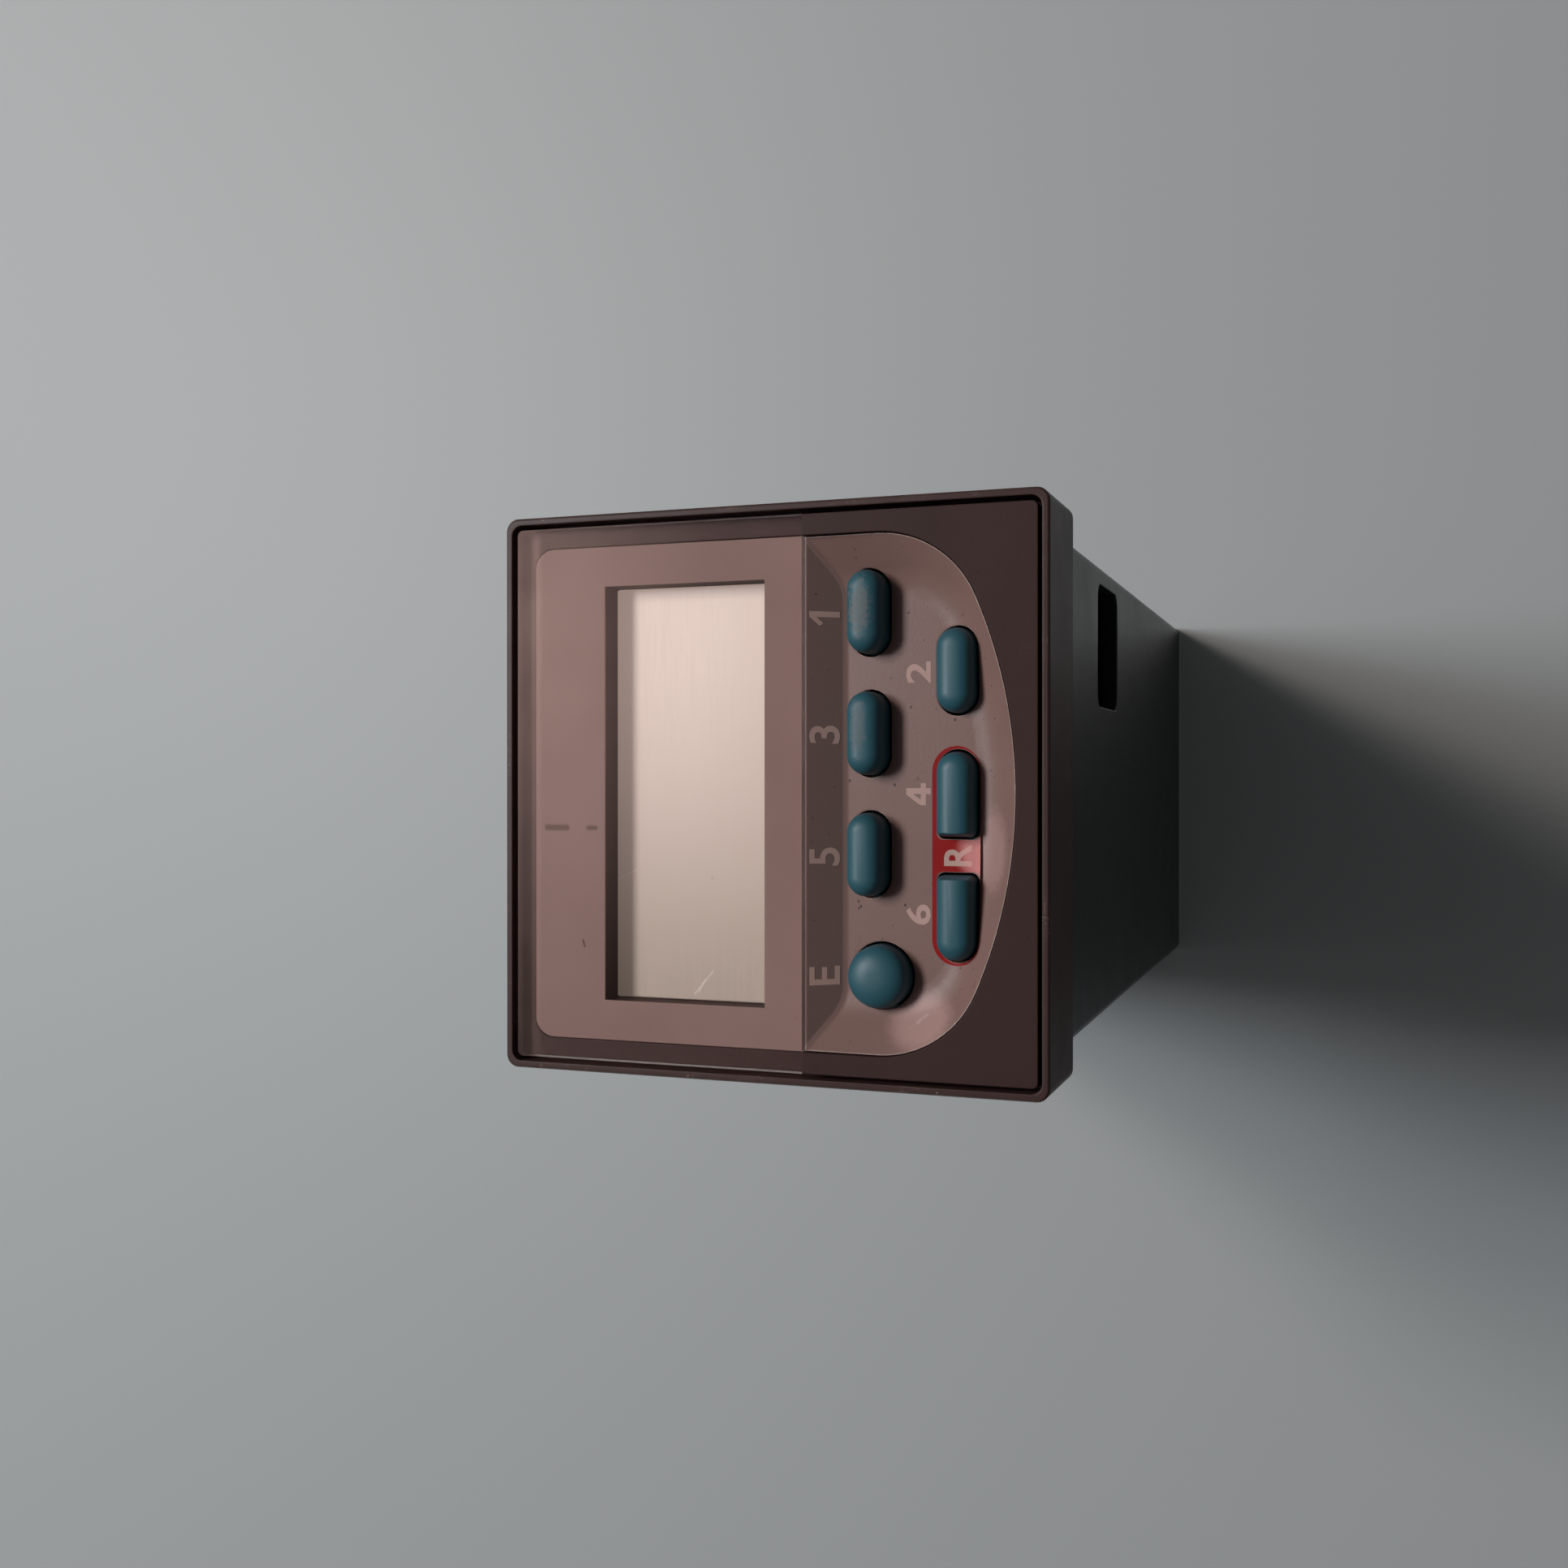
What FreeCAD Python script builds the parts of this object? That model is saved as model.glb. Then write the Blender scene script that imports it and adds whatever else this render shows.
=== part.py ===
# Digital panel counter: a square instrument that is pushed through a panel from the front.
#
# X runs to the right across the face, Z up, and Y into the panel. The origin is the middle of the
# panel cut-out, on the panel's front surface, where the back of the bezel seats. Depths below are
# measured from the front rim towards the rear, in millimetres.

import FreeCAD
import Part
import Sketcher
import math
import os
import re
from FreeCAD import Vector

SIZES = [
    # bezel and fascia
    ("front_side", "48", "outer side of the square bezel"),
    ("front_corner", "1.1", "radius of the bezel's four corners"),
    ("bezel_depth", "10", "rim to panel seat"),
    ("rim_width", "0.6", "width of the raised rim"),
    ("rim_chamfer", "0.15", "bevel along the rim's outer edge"),
    ("seat_width", "1.6", "overhang of the bezel past the housing, which seats on the panel"),
    ("panel_gap", "0.4", "groove between rim and fascia"),
    ("panel_corner", "0.5", "corner radius of the fascia"),
    ("panel_recess", "0.3", "fascia face behind the rim"),
    ("panel_thickness", "2.7", "fascia plate"),
    ("fit_gap", "0.08", "play between fixed mouldings that slide together"),
    # display window and mask
    ("window_drop", "3.45", "lower edge of the window below the middle"),
    ("window_thickness", "1.5", "clear plate"),
    ("mask_thickness", "0.2", "printed foil"),
    ("mask_border", "1.6", "dark margin between the fascia's edge and the foil"),
    ("mask_top_border", "1.2", "dark margin above the foil"),
    ("mask_corner", "1.8", "upper corner radius of the foil"),
    ("view_side_border", "3.5", "foil between its side edge and the display opening"),
    ("view_height", "14.8", "display opening"),
    ("view_top_border", "8", "upper edge of the fascia to the display opening"),
    ("tube_wall", "1", "wall round the display opening behind the fascia"),
    # keypad dish
    ("dish_side_border", "1.75", "fascia beside the dish"),
    ("dish_apex_border", "1.7", "fascia below the dish"),
    ("dish_corner", "9", "radius where the dish's side turns into its bottom arc"),
    ("dish_bottom_radius", "40", "radius of the dish's bottom arc"),
    ("mouth_growth", "1.25", "spread of the dish's side flanks from the fascia opening to the mouth plane"),
    ("mouth_apex_growth", "0.25", "the same spread at the dish's lowest point"),
    ("mouth_depth", "0.1", "depth of that plane"),
    ("strip_foot_drop", "6.35", "foot of the legend strip below the middle"),
    ("strip_foot_depth", "3.1", "depth of the floor at the foot of the strip"),
    ("strip_head_rise", "0.95", "strip plane meets the mouth plane this far above the window edge"),
    ("floor_side_border", "3.85", "dish side to floor side"),
    ("floor_bottom_border", "1.75", "dish bottom to floor bottom"),
    ("floor_corner", "6.5", "corner radius of the floor"),
    ("floor_tilt", "5.4", "slope of the floor, in degrees, rising towards its lower end"),
    ("flank_blend", "5.2", "concave radius between floor and flanks"),
    ("strip_blend", "0.7", "concave radius between floor and strip"),
    ("bowl_flange", "0.8", "flange behind the fascia"),
    ("flange_gap", "0.45", "that flange below the wall round the display opening"),
    ("bowl_back", "0.8", "bowl behind its flange, inside the housing"),
    # keys
    ("key_pitch", "9.95", "key to key along a row"),
    ("key_length", "6.85", "long keys"),
    ("key_width", "3.2", "long keys"),
    ("key_corner", "0.5", "corners at the flat end of the two reset keys"),
    ("key_dome", "0.78", "rounding of the long keys' tops"),
    ("enter_diameter", "5.2", "round key"),
    ("enter_bevel", "0.7", "bevel round the top of the round key"),
    ("row_one_step", "2.27", "first row below the strip's foot"),
    ("enter_step", "3.3", "round key below the strip's foot"),
    ("row_two_rise", "5.13", "second row above the dish's lowest point"),
    ("key_top_depth", "0.1", "key tops behind the rim"),
    ("key_gap", "0.22", "gap round each key in its hole"),
    ("ear_reach", "0.4", "retaining ears beyond both ends of each key"),
    ("ear_width", "2.4", "ears, across"),
    ("ear_thickness", "0.7", "ears, front to rear"),
    ("key_travel", "0.8", "how far a key goes in"),
    ("travel_reserve", "0.05", "room left behind a pressed key"),
    ("plunger_side", "3", "square rubber plungers of the mat, one behind each key"),
    ("mat_thickness", "0.6", "rubber mat"),
    ("mat_gap", "0.9", "mat to the bosses at its lower corners, sideways"),
    ("mat_frame_gap", "1.9", "mat below the display's frame"),
    # display cell
    ("glass_ledge", "1.8", "front glass beyond the rear glass, above and below"),
    ("glass_lap_height", "0.3", "rear glass beyond the display opening, above and below"),
    ("glass_thickness", "1.1", "each of the two glasses"),
    ("reflector_thickness", "0.2", "film behind the rear glass"),
    ("cell_gap", "0.35", "room between that film and the display board"),
    ("strip_width", "1.5", "rubber contact strips"),
    ("lcd_frame_wall", "0.6", "frame round the glass"),
    ("lcd_frame_gap", "0.1", "play between glass and frame"),
    ("frame_side_gap", "0.2", "frame to the housing's side walls"),
    # boards
    ("board_thickness", "1.6", "all three boards"),
    ("board_gap", "0.2", "board edge to housing wall"),
    ("board_spacing", "8", "between the two long boards"),
    ("board_setback", "5", "long boards behind the display board"),
    ("board_end_gap", "2.5", "long boards in front of the rear cover"),
    ("boss_side", "1.8", "square bosses that hold the display board's lower corners"),
    ("boss_inset", "1.1", "boss middle from the housing's inner walls"),
    ("header_width", "25.4", "connector along the board"),
    ("header_height", "2.5", "connector above the board"),
    ("header_lap", "4", "connector over the long board's front end"),
    # housing
    ("overall_depth", "102", "rim to the rear edge of the housing"),
    ("housing_wall", "1.8", "wall at the front end"),
    ("housing_draft", "0.4", "narrowing of each side towards the rear"),
    ("housing_corner", "1", "outer corner radius"),
    ("ring_width", "1.8", "ring that backs the display board"),
    ("ring_thickness", "1.5", "the same ring, front to rear"),
    ("rib_height", "1.2", "board guides, out of the wall"),
    ("rib_width", "1.2", "board guides, across"),
    ("rib_play", "0.1", "board in its guide"),
    ("latch_width", "10", "snap bumps that hold the bezel"),
    ("latch_height", "0.4", "bump out of the housing"),
    ("latch_length", "1.2", "bump, front to rear"),
    ("latch_depth", "6.2", "front of the bump behind the rim"),
    ("latch_play", "0.15", "pocket round each bump"),
    ("port_width", "12", "opening in the underside"),
    ("port_length", "12.6", "opening in the underside, front to rear"),
    ("port_side_gap", "0.3", "opening to the housing's right wall"),
    ("port_depth", "32.8", "front edge of the opening behind the rim"),
    ("port_corner", "1.5", "corner radius of the opening"),
    ("cut_reach", "1", "how far through cuts run past the material"),
    # rear
    ("cover_inset", "0.5", "cover in front of the housing's rear edge"),
    ("cover_thickness", "2", "rear cover"),
    ("cover_play", "0.1", "cover in the housing"),
    ("tab_width", "8", "snap tabs at both sides of the cover"),
    ("tab_length", "1.4", "tabs, front to rear"),
    ("tab_reach", "0.8", "tabs into the housing's walls"),
    ("tab_play", "0.15", "slot round each tab"),
    ("pole_pitch", "5.08", "terminal to terminal"),
    ("block_side_gap", "1.5", "least room between a block and the housing's side wall"),
    ("block_cheek", "0.8", "block beyond its outer terminals, both ends together"),
    ("block_height", "10.4", "terminal block above its board"),
    ("block_length", "16", "terminal block, front to rear"),
    ("block_play", "0.15", "block in the cover's cut-out"),
    ("entry_width", "3.2", "wire entry"),
    ("entry_height", "3.2", "wire entry"),
    ("entry_rise", "3", "middle of the wire entry above the board"),
    ("entry_length", "9", "wire entry, into the block"),
    ("screw_rise", "7.7", "middle of the screw above the board"),
    ("screw_hole", "3.8", "side of the square chamber round each screw"),
    ("screw_head", "3.4", "screw head"),
    ("screw_head_length", "2", "screw head, front to rear"),
    ("screw_sink", "2.5", "screw head below the block's rear face"),
    ("screw_slot", "0.6", "slot across and into the head"),
    ("clamp_wall", "0.5", "wire clamp sheet"),
    ("clamp_length", "4", "wire clamp, front to rear"),
    # components on the long boards, sizes across, front to rear and above the board
    ("controller_side", "12", "controller chip"),
    ("controller_height", "1.8", "controller chip"),
    ("controller_setback", "26", "controller behind the board's front edge"),
    ("memory_width", "5", "memory chip"),
    ("memory_length", "6.2", "memory chip"),
    ("memory_height", "1.6", "memory chip"),
    ("crystal_length", "11", "crystal can"),
    ("crystal_width", "4.6", "crystal can"),
    ("crystal_height", "3.5", "crystal can"),
    ("opto_width", "6.4", "optocouplers"),
    ("opto_length", "4.6", "optocouplers"),
    ("opto_height", "3.4", "optocouplers"),
    ("opto_pitch", "10", "optocoupler to optocoupler"),
    ("opto_clearance", "6", "optocouplers in front of the terminal block"),
    ("core_width", "20", "transformer core"),
    ("core_length", "24", "transformer core"),
    ("core_wall", "4", "outer limbs of the core"),
    ("core_side_gap", "1.2", "core to the housing's left wall"),
    ("core_gap", "1", "core behind the connector"),
    ("winding_play", "0.2", "winding in the core's windows"),
    ("winding_bulge", "1.8", "winding beyond the core's faces"),
    ("winding_clearance", "1", "winding to the housing's lower wall"),
    ("relay_width", "12.5", "relay"),
    ("relay_length", "20", "relay"),
    ("relay_height", "10.5", "relay"),
    ("relay_side_gap", "4.95", "relay to the housing's left wall"),
    ("relay_clearance", "1.5", "relay in front of the terminal block"),
    ("capacitor_diameter", "10", "filter capacitor, lying on the board"),
    ("capacitor_length", "16", "filter capacitor"),
    ("capacitor_clearance", "2", "capacitor in front of the regulator"),
    ("rectifier_width", "8", "rectifier bridge"),
    ("rectifier_length", "6.5", "rectifier bridge"),
    ("rectifier_height", "2.6", "rectifier bridge"),
    ("rectifier_clearance", "0.6", "rectifier in front of the capacitor"),
    ("regulator_width", "10", "regulator"),
    ("regulator_length", "9", "regulator"),
    ("regulator_height", "4.4", "regulator"),
    ("regulator_clearance", "0.8", "regulator in front of the terminal block"),
    ("supply_side_gap", "4.2", "regulator, capacitor and rectifier to the housing's right wall"),
    ("driver_gap", "0.6", "display driver chip to the connectors above and below it"),
    ("driver_height", "1.4", "display driver chip"),
]

# Lengths that follow from the sizes

PANEL_SIDE = "(front_side - 2 * rim_width - 2 * panel_gap)"
HOUSING_SIDE = "(front_side - 2 * seat_width)"
INNER_SIDE = f"({HOUSING_SIDE} - 2 * housing_wall)"
MASK_WIDTH = f"({PANEL_SIDE} - 2 * mask_border)"
VIEW_WIDTH = f"({MASK_WIDTH} - 2 * view_side_border)"
DISH_HALF = f"({PANEL_SIDE} / 2 - dish_side_border)"
DISH_APEX = f"({PANEL_SIDE} / 2 - dish_apex_border)"
FLOOR_LENGTH = f"({DISH_APEX} - strip_foot_drop - floor_bottom_border)"
VIEW_MIDDLE = f"({PANEL_SIDE} / 2 - view_top_border - view_height / 2)"
FLANGE_TOP = f"({VIEW_MIDDLE} - view_height / 2 - tube_wall - flange_gap)"
BOARD_SIDE = f"({INNER_SIDE} - 2 * board_gap)"
BOSS_PLACE = f"({INNER_SIDE} / 2 - boss_inset)"
FRAME_WIDTH = f"({INNER_SIDE} - 2 * frame_side_gap)"
GLASS_WIDTH = f"({FRAME_WIDTH} - 2 * lcd_frame_wall - 2 * lcd_frame_gap)"
REAR_GLASS_HEIGHT = "(view_height + 2 * glass_lap_height)"
FRONT_GLASS_HEIGHT = f"({REAR_GLASS_HEIGHT} + 2 * glass_ledge)"
FRAME_HEIGHT = f"({FRONT_GLASS_HEIGHT} + 2 * lcd_frame_gap + 2 * lcd_frame_wall)"
BOARD_FACE = "(board_spacing / 2 + board_thickness)"
POLE_COUNT = f"floor(({INNER_SIDE} - 2 * block_side_gap - block_cheek) / pole_pitch)"
BLOCK_WIDTH = f"({POLE_COUNT} * pole_pitch + block_cheek)"
ROW_ONE = "-(strip_foot_drop + row_one_step)"
ENTER_ROW = "-(strip_foot_drop + enter_step)"
ROW_TWO = f"-({DISH_APEX} - row_two_rise)"

# Depths behind the rim

PANEL_FACE = "panel_recess"
WINDOW_BACK = f"({PANEL_FACE} + window_thickness)"
MASK_BACK = f"({WINDOW_BACK} + mask_thickness)"
PANEL_BACK = f"({PANEL_FACE} + panel_thickness)"
HOUSING_FRONT = f"({PANEL_BACK} + bowl_flange)"
BOWL_BACK = f"({HOUSING_FRONT} + bowl_back)"
KEY_BACK = f"({BOWL_BACK} + ear_thickness)"
GLASS_JOINT = f"({BOWL_BACK} + glass_thickness)"
GLASS_BACK = f"({GLASS_JOINT} + glass_thickness)"
REFLECTOR_BACK = f"({GLASS_BACK} + reflector_thickness)"
BOARD_FRONT = f"({REFLECTOR_BACK} + cell_gap)"
BOARD_BACK = f"({BOARD_FRONT} + board_thickness)"
MAT_FRONT = f"({BOARD_FRONT} - mat_thickness)"
PLUNGER_TOP = f"({KEY_BACK} + key_travel + travel_reserve)"
RING_BACK = f"({BOARD_BACK} + ring_thickness)"
LONG_BOARD_FRONT = f"({BOARD_BACK} + board_setback)"
COVER_BACK = "(overall_depth - cover_inset)"
COVER_FRONT = f"({COVER_BACK} - cover_thickness)"
LONG_BOARD_BACK = f"({COVER_FRONT} - board_end_gap)"
BLOCK_FRONT = f"({COVER_BACK} - block_length)"
SCREW_BACK = f"({COVER_BACK} - screw_sink)"
SCREW_FRONT = f"({SCREW_BACK} - screw_head_length)"

# Each key's place on the face and the form of its outline

KEYS = {
    "key_enter": ("-3 / 2 * key_pitch", ENTER_ROW, "round"),
    "key_5": ("-1 / 2 * key_pitch", ROW_ONE, "pill"),
    "key_3": ("1 / 2 * key_pitch", ROW_ONE, "pill"),
    "key_1": ("3 / 2 * key_pitch", ROW_ONE, "pill"),
    "key_6": ("-key_pitch", ROW_TWO, "flat right"),
    "key_4": ("0", ROW_TWO, "flat left"),
    "key_2": ("key_pitch", ROW_TWO, "pill"),
}

doc = FreeCAD.newDocument("PanelCounter")
sheet = doc.addObject("Spreadsheet::Sheet", "Sizes")
for row, (alias, amount, meaning) in enumerate(SIZES, start=1):
    sheet.set(f"A{row}", meaning)
    sheet.set(f"B{row}", amount)
    sheet.setAlias(f"B{row}", alias)
doc.recompute()
ALIASES = {alias for alias, amount, meaning in SIZES}
formula_reader = doc.addObject("App::FeaturePython", "FormulaReader")
sub_parts = []


# Formulas over the sheet


def formula(text):
    """The text with every size name pointed at its cell."""
    return re.sub(r"[a-z][a-z_]*", lambda m: f"Sizes.{m[0]}" if m[0] in ALIASES else m[0], text)


def value(text):
    """What a formula comes to now."""
    return float(formula_reader.evalExpression(formula(text)))


def bind(target, name, text):
    target.setExpression(name, formula(text))


# Outlines, drawn round the sketch's own origin, anticlockwise


def outline(path):
    """Draw a closed path of (x, y, arc centre or None), each the start of a line or an arc."""

    def draw(sketch):
        starts = [Vector(value(x), value(y), 0) for x, y, centre in path]
        for index, (x, y, centre) in enumerate(path):
            start = starts[index]
            end = starts[(index + 1) % len(path)]
            if centre is None:
                sketch.addGeometry(Part.LineSegment(start, end))
            else:
                middle = Vector(value(centre[0]), value(centre[1]), 0)
                first = math.atan2(start.y - middle.y, start.x - middle.x)
                last = math.atan2(end.y - middle.y, end.x - middle.x)
                circle = Part.Circle(middle, Vector(0, 0, 1), (start - middle).Length)
                sketch.addGeometry(Part.ArcOfCircle(circle, first, last))
        for index, (x, y, centre) in enumerate(path):
            following = (index + 1) % len(path)
            sketch.addConstraint(Sketcher.Constraint("Coincident", index, 2, following, 1))
        for index, (x, y, centre) in enumerate(path):
            place(sketch, "DistanceX", index, 1, x)
            place(sketch, "DistanceY", index, 1, y)
            if centre is not None:
                chord = starts[(index + 1) % len(path)] - starts[index]
                if abs(chord.y) > abs(chord.x):
                    place(sketch, "DistanceX", index, 3, centre[0])
                else:
                    place(sketch, "DistanceY", index, 3, centre[1])

    return draw


def place(sketch, kind, geometry, point, text):
    """Hold one coordinate of a point at a formula's value."""
    number = sketch.addConstraint(Sketcher.Constraint(kind, -1, 1, geometry, point, value(text)))
    bind(sketch, f"Constraints[{number}]", text)


def circle(diameter):
    def draw(sketch):
        sketch.addGeometry(Part.Circle(Vector(0, 0, 0), Vector(0, 0, 1), value(diameter) / 2))
        sketch.addConstraint(Sketcher.Constraint("Coincident", 0, 3, -1, 1))
        number = sketch.addConstraint(Sketcher.Constraint("Diameter", 0, value(diameter)))
        bind(sketch, f"Constraints[{number}]", diameter)

    return draw


def rectangle(width, height, corner=None, upper_only=False):
    """A rectangle, with all corners or the upper two rounded where a radius is given."""
    right, top = f"({width}) / 2", f"({height}) / 2"
    if corner is None:
        return outline([(right, top, None), (f"-{right}", top, None),
                        (f"-{right}", f"-{top}", None), (right, f"-{top}", None)])
    near, upper = f"({right} - ({corner}))", f"({top} - ({corner}))"
    path = [
        (right, upper, (near, upper)), (near, top, None),
        (f"-{near}", top, (f"-{near}", upper)), (f"-({right})", upper, None),
    ]
    if upper_only:
        return outline(path + [(f"-({right})", f"-({top})", None), (right, f"-({top})", None)])
    return outline(path + [
        (f"-({right})", f"-{upper}", (f"-{near}", f"-{upper}")), (f"-{near}", f"-({top})", None),
        (near, f"-({top})", (near, f"-{upper}")), (right, f"-{upper}", None),
    ])


def key_outline(form, growth):
    """One key's outline, grown all round."""
    if form == "round":
        return circle(f"enter_diameter + 2 * ({growth})")
    reach = f"(key_length / 2 + {growth})"
    half = f"(key_width / 2 + {growth})"
    bend = "(key_length / 2 - key_width / 2)"
    if form == "pill":
        return outline([(bend, half, None), (f"-{bend}", half, (f"-{bend}", "0")),
                        (f"-{bend}", f"-{half}", None), (bend, f"-{half}", (bend, "0"))])
    corner = f"(key_corner + {growth})"
    side, level = f"({reach} - {corner})", f"({half} - {corner})"
    if form == "flat right":
        return outline([(side, half, None), (f"-{bend}", half, (f"-{bend}", "0")),
                        (f"-{bend}", f"-{half}", None), (side, f"-{half}", (side, f"-{level}")),
                        (reach, f"-{level}", None), (reach, level, (side, level))])
    return outline([(bend, half, None), (f"-{side}", half, (f"-{side}", level)),
                    (f"-{reach}", level, None), (f"-{reach}", f"-{level}", (f"-{side}", f"-{level}")),
                    (f"-{side}", f"-{half}", None), (bend, f"-{half}", (bend, "0"))])


def dish_outline(half, top, apex, corner, bottom):
    """A D lying on its back: straight top and sides, round corners and one wide bottom arc."""
    reach = f"({half} - {corner})"
    drop = f"sqrt(({bottom} - {corner})^2 - {reach}^2)"
    middle = f"({bottom} - {apex})"
    level = f"({middle} - {drop})"
    share = f"({bottom} / ({bottom} - {corner}))"
    touch, low = f"({share} * {reach})", f"({middle} - {share} * {drop})"
    return outline([
        (half, top, None), (f"-{half}", top, None),
        (f"-{half}", level, (f"-{reach}", level)), (f"-{touch}", low, ("0", middle)),
        (touch, low, (reach, level)), (half, level, None),
    ])


# Features


def new_body(label):
    body = doc.addObject("PartDesign::Body", label)
    body.Label = label
    sub_parts.append(body)
    return body


def origin_feature(body, role):
    return next(item for item in body.Origin.OriginFeatures if item.Role == role)


def face_sketch(body, draw, depth, x="0", z="0"):
    """A sketch parallel to the face, at a depth behind the rim, looking out of the face."""
    sketch = body.newObject("Sketcher::SketchObject", "Sketch")
    sketch.AttachmentSupport = (origin_feature(body, "XZ_Plane"), "")
    sketch.MapMode = "FlatFace"
    bind(sketch, "AttachmentOffset.Base.x", x)
    bind(sketch, "AttachmentOffset.Base.y", z)
    bind(sketch, "AttachmentOffset.Base.z", f"bezel_depth - ({depth})")
    draw(sketch)
    return sketch


def finish_feature(body, feature, grows):
    """Make the feature the body's tip and check that it adds or takes away."""
    before = feature.BaseFeature.Shape.Volume if feature.BaseFeature else 0
    body.Tip = feature
    doc.recompute()
    change = feature.Shape.Volume - before
    if change == 0 or (change > 0) != grows:
        raise RuntimeError(f"{body.Label}: {feature.Name} changes the volume by {change}")
    return feature


def pad(body, draw, front, back, x="0", z="0"):
    """Material between two depths."""
    feature = body.newObject("PartDesign::Pad", "Pad")
    feature.Profile = face_sketch(body, draw, back, x, z)
    bind(feature, "Length", f"({back}) - ({front})")
    return finish_feature(body, feature, grows=True)


def pocket(body, draw, front, back, x="0", z="0"):
    """A cut between two depths."""
    feature = body.newObject("PartDesign::Pocket", "Pocket")
    feature.Profile = face_sketch(body, draw, front, x, z)
    bind(feature, "Length", f"({back}) - ({front})")
    return finish_feature(body, feature, grows=False)


def loft(body, kind, sections, grows):
    feature = body.newObject(f"PartDesign::{kind}", kind)
    feature.Profile = sections[0]
    feature.Sections = sections[1:]
    feature.Ruled = True
    return finish_feature(body, feature, grows)


def dress(body, kind, amount_name, amount, chosen, grows=False):
    """A fillet or chamfer on the tip's edges that the given test picks."""
    base = body.Tip
    edges = [f"Edge{number}" for number, edge in enumerate(base.Shape.Edges, start=1) if chosen(edge)]
    feature = body.newObject(f"PartDesign::{kind}", kind)
    feature.Base = (base, edges)
    bind(feature, amount_name, amount)
    return finish_feature(body, feature, grows)


def fillet(body, radius, chosen, grows=False):
    return dress(body, "Fillet", "Radius", radius, chosen, grows)


def chamfer(body, size, chosen):
    return dress(body, "Chamfer", "Size", size, chosen)


def polar(body, feature, copies):
    """Repeat a feature round the body's depth axis."""
    pattern = body.newObject("PartDesign::PolarPattern", "PolarPattern")
    pattern.Originals = [feature]
    pattern.Axis = (origin_feature(body, "Y_Axis"), [""])
    pattern.Angle = 360
    pattern.Occurrences = copies
    body.Tip = pattern
    doc.recompute()


def along_row(body, feature):
    """Repeat a feature for every terminal, towards the right."""
    pattern = body.newObject("PartDesign::LinearPattern", "LinearPattern")
    pattern.Originals = [feature]
    pattern.Direction = (origin_feature(body, "X_Axis"), [""])
    bind(pattern, "Length", f"({POLE_COUNT} - 1) * pole_pitch")
    bind(pattern, "Occurrences", POLE_COUNT)
    body.Tip = pattern
    doc.recompute()


def in_plane(edge, axis, level):
    """Whether a whole edge lies at one level of an axis."""
    box = edge.BoundBox
    ends = {"x": (box.XMin, box.XMax), "y": (box.YMin, box.YMax), "z": (box.ZMin, box.ZMax)}[axis]
    return abs(ends[0] - level) < 0.01 and abs(ends[1] - level) < 0.01


def depth_to_y(depth):
    return value(f"({depth}) - bezel_depth")


# Plain solids


def block(label, x_middle, width, front, back, low, high):
    """A rectangular solid between two depths and two heights."""
    solid = doc.addObject("Part::Box", label)
    solid.Label = label
    bind(solid, "Length", width)
    bind(solid, "Width", f"({back}) - ({front})")
    bind(solid, "Height", f"({high}) - ({low})")
    bind(solid, "Placement.Base.x", f"({x_middle}) - ({width}) / 2")
    bind(solid, "Placement.Base.y", f"({front}) - bezel_depth")
    bind(solid, "Placement.Base.z", low)
    return solid


def rod(label, x_middle, z_middle, diameter, front, back, corners=None):
    """A solid that runs along the depth, round or with the given number of corners."""
    solid = doc.addObject("Part::Prism" if corners else "Part::Cylinder", label)
    solid.Label = label
    solid.Placement.Rotation = FreeCAD.Rotation(Vector(1, 0, 0), -90)
    if corners:
        solid.Polygon = corners
    bind(solid, "Circumradius" if corners else "Radius", f"({diameter}) / 2")
    bind(solid, "Height", f"({back}) - ({front})")
    bind(solid, "Placement.Base.x", x_middle)
    bind(solid, "Placement.Base.y", f"({front}) - bezel_depth")
    bind(solid, "Placement.Base.z", z_middle)
    return solid


def cut(label, base, tool):
    result = doc.addObject("Part::Cut", label)
    result.Label = label
    result.Base = base
    result.Tool = tool
    return result


def group(label, solids):
    """Like pieces kept together as separate solids of one sub-part."""
    result = doc.addObject("Part::Compound", label)
    result.Label = label
    result.Links = solids
    sub_parts.append(result)


# Bezel and fascia


def make_bezel_frame():
    body = new_body("bezel_frame")
    opening = "front_side - 2 * rim_width"
    sleeve = f"{HOUSING_SIDE} + 2 * fit_gap"
    pad(body, rectangle("front_side", "front_side", "front_corner"), "0", "bezel_depth")
    front = depth_to_y("0")
    chamfer(body, "rim_chamfer", lambda edge: in_plane(edge, "y", front))
    pocket(body, rectangle(opening, opening, "panel_corner + panel_gap"), "0", PANEL_BACK)
    pocket(body, rectangle(sleeve, sleeve, "housing_corner + fit_gap"), PANEL_BACK, "bezel_depth")
    depth = "2 * (latch_height + latch_play)"
    notch = pocket(body, rectangle(depth, "latch_width + 2 * latch_play"),
                   "latch_depth - latch_play", "latch_depth + latch_length + latch_play",
                   x=f"{HOUSING_SIDE} / 2")
    polar(body, notch, 4)


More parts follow.
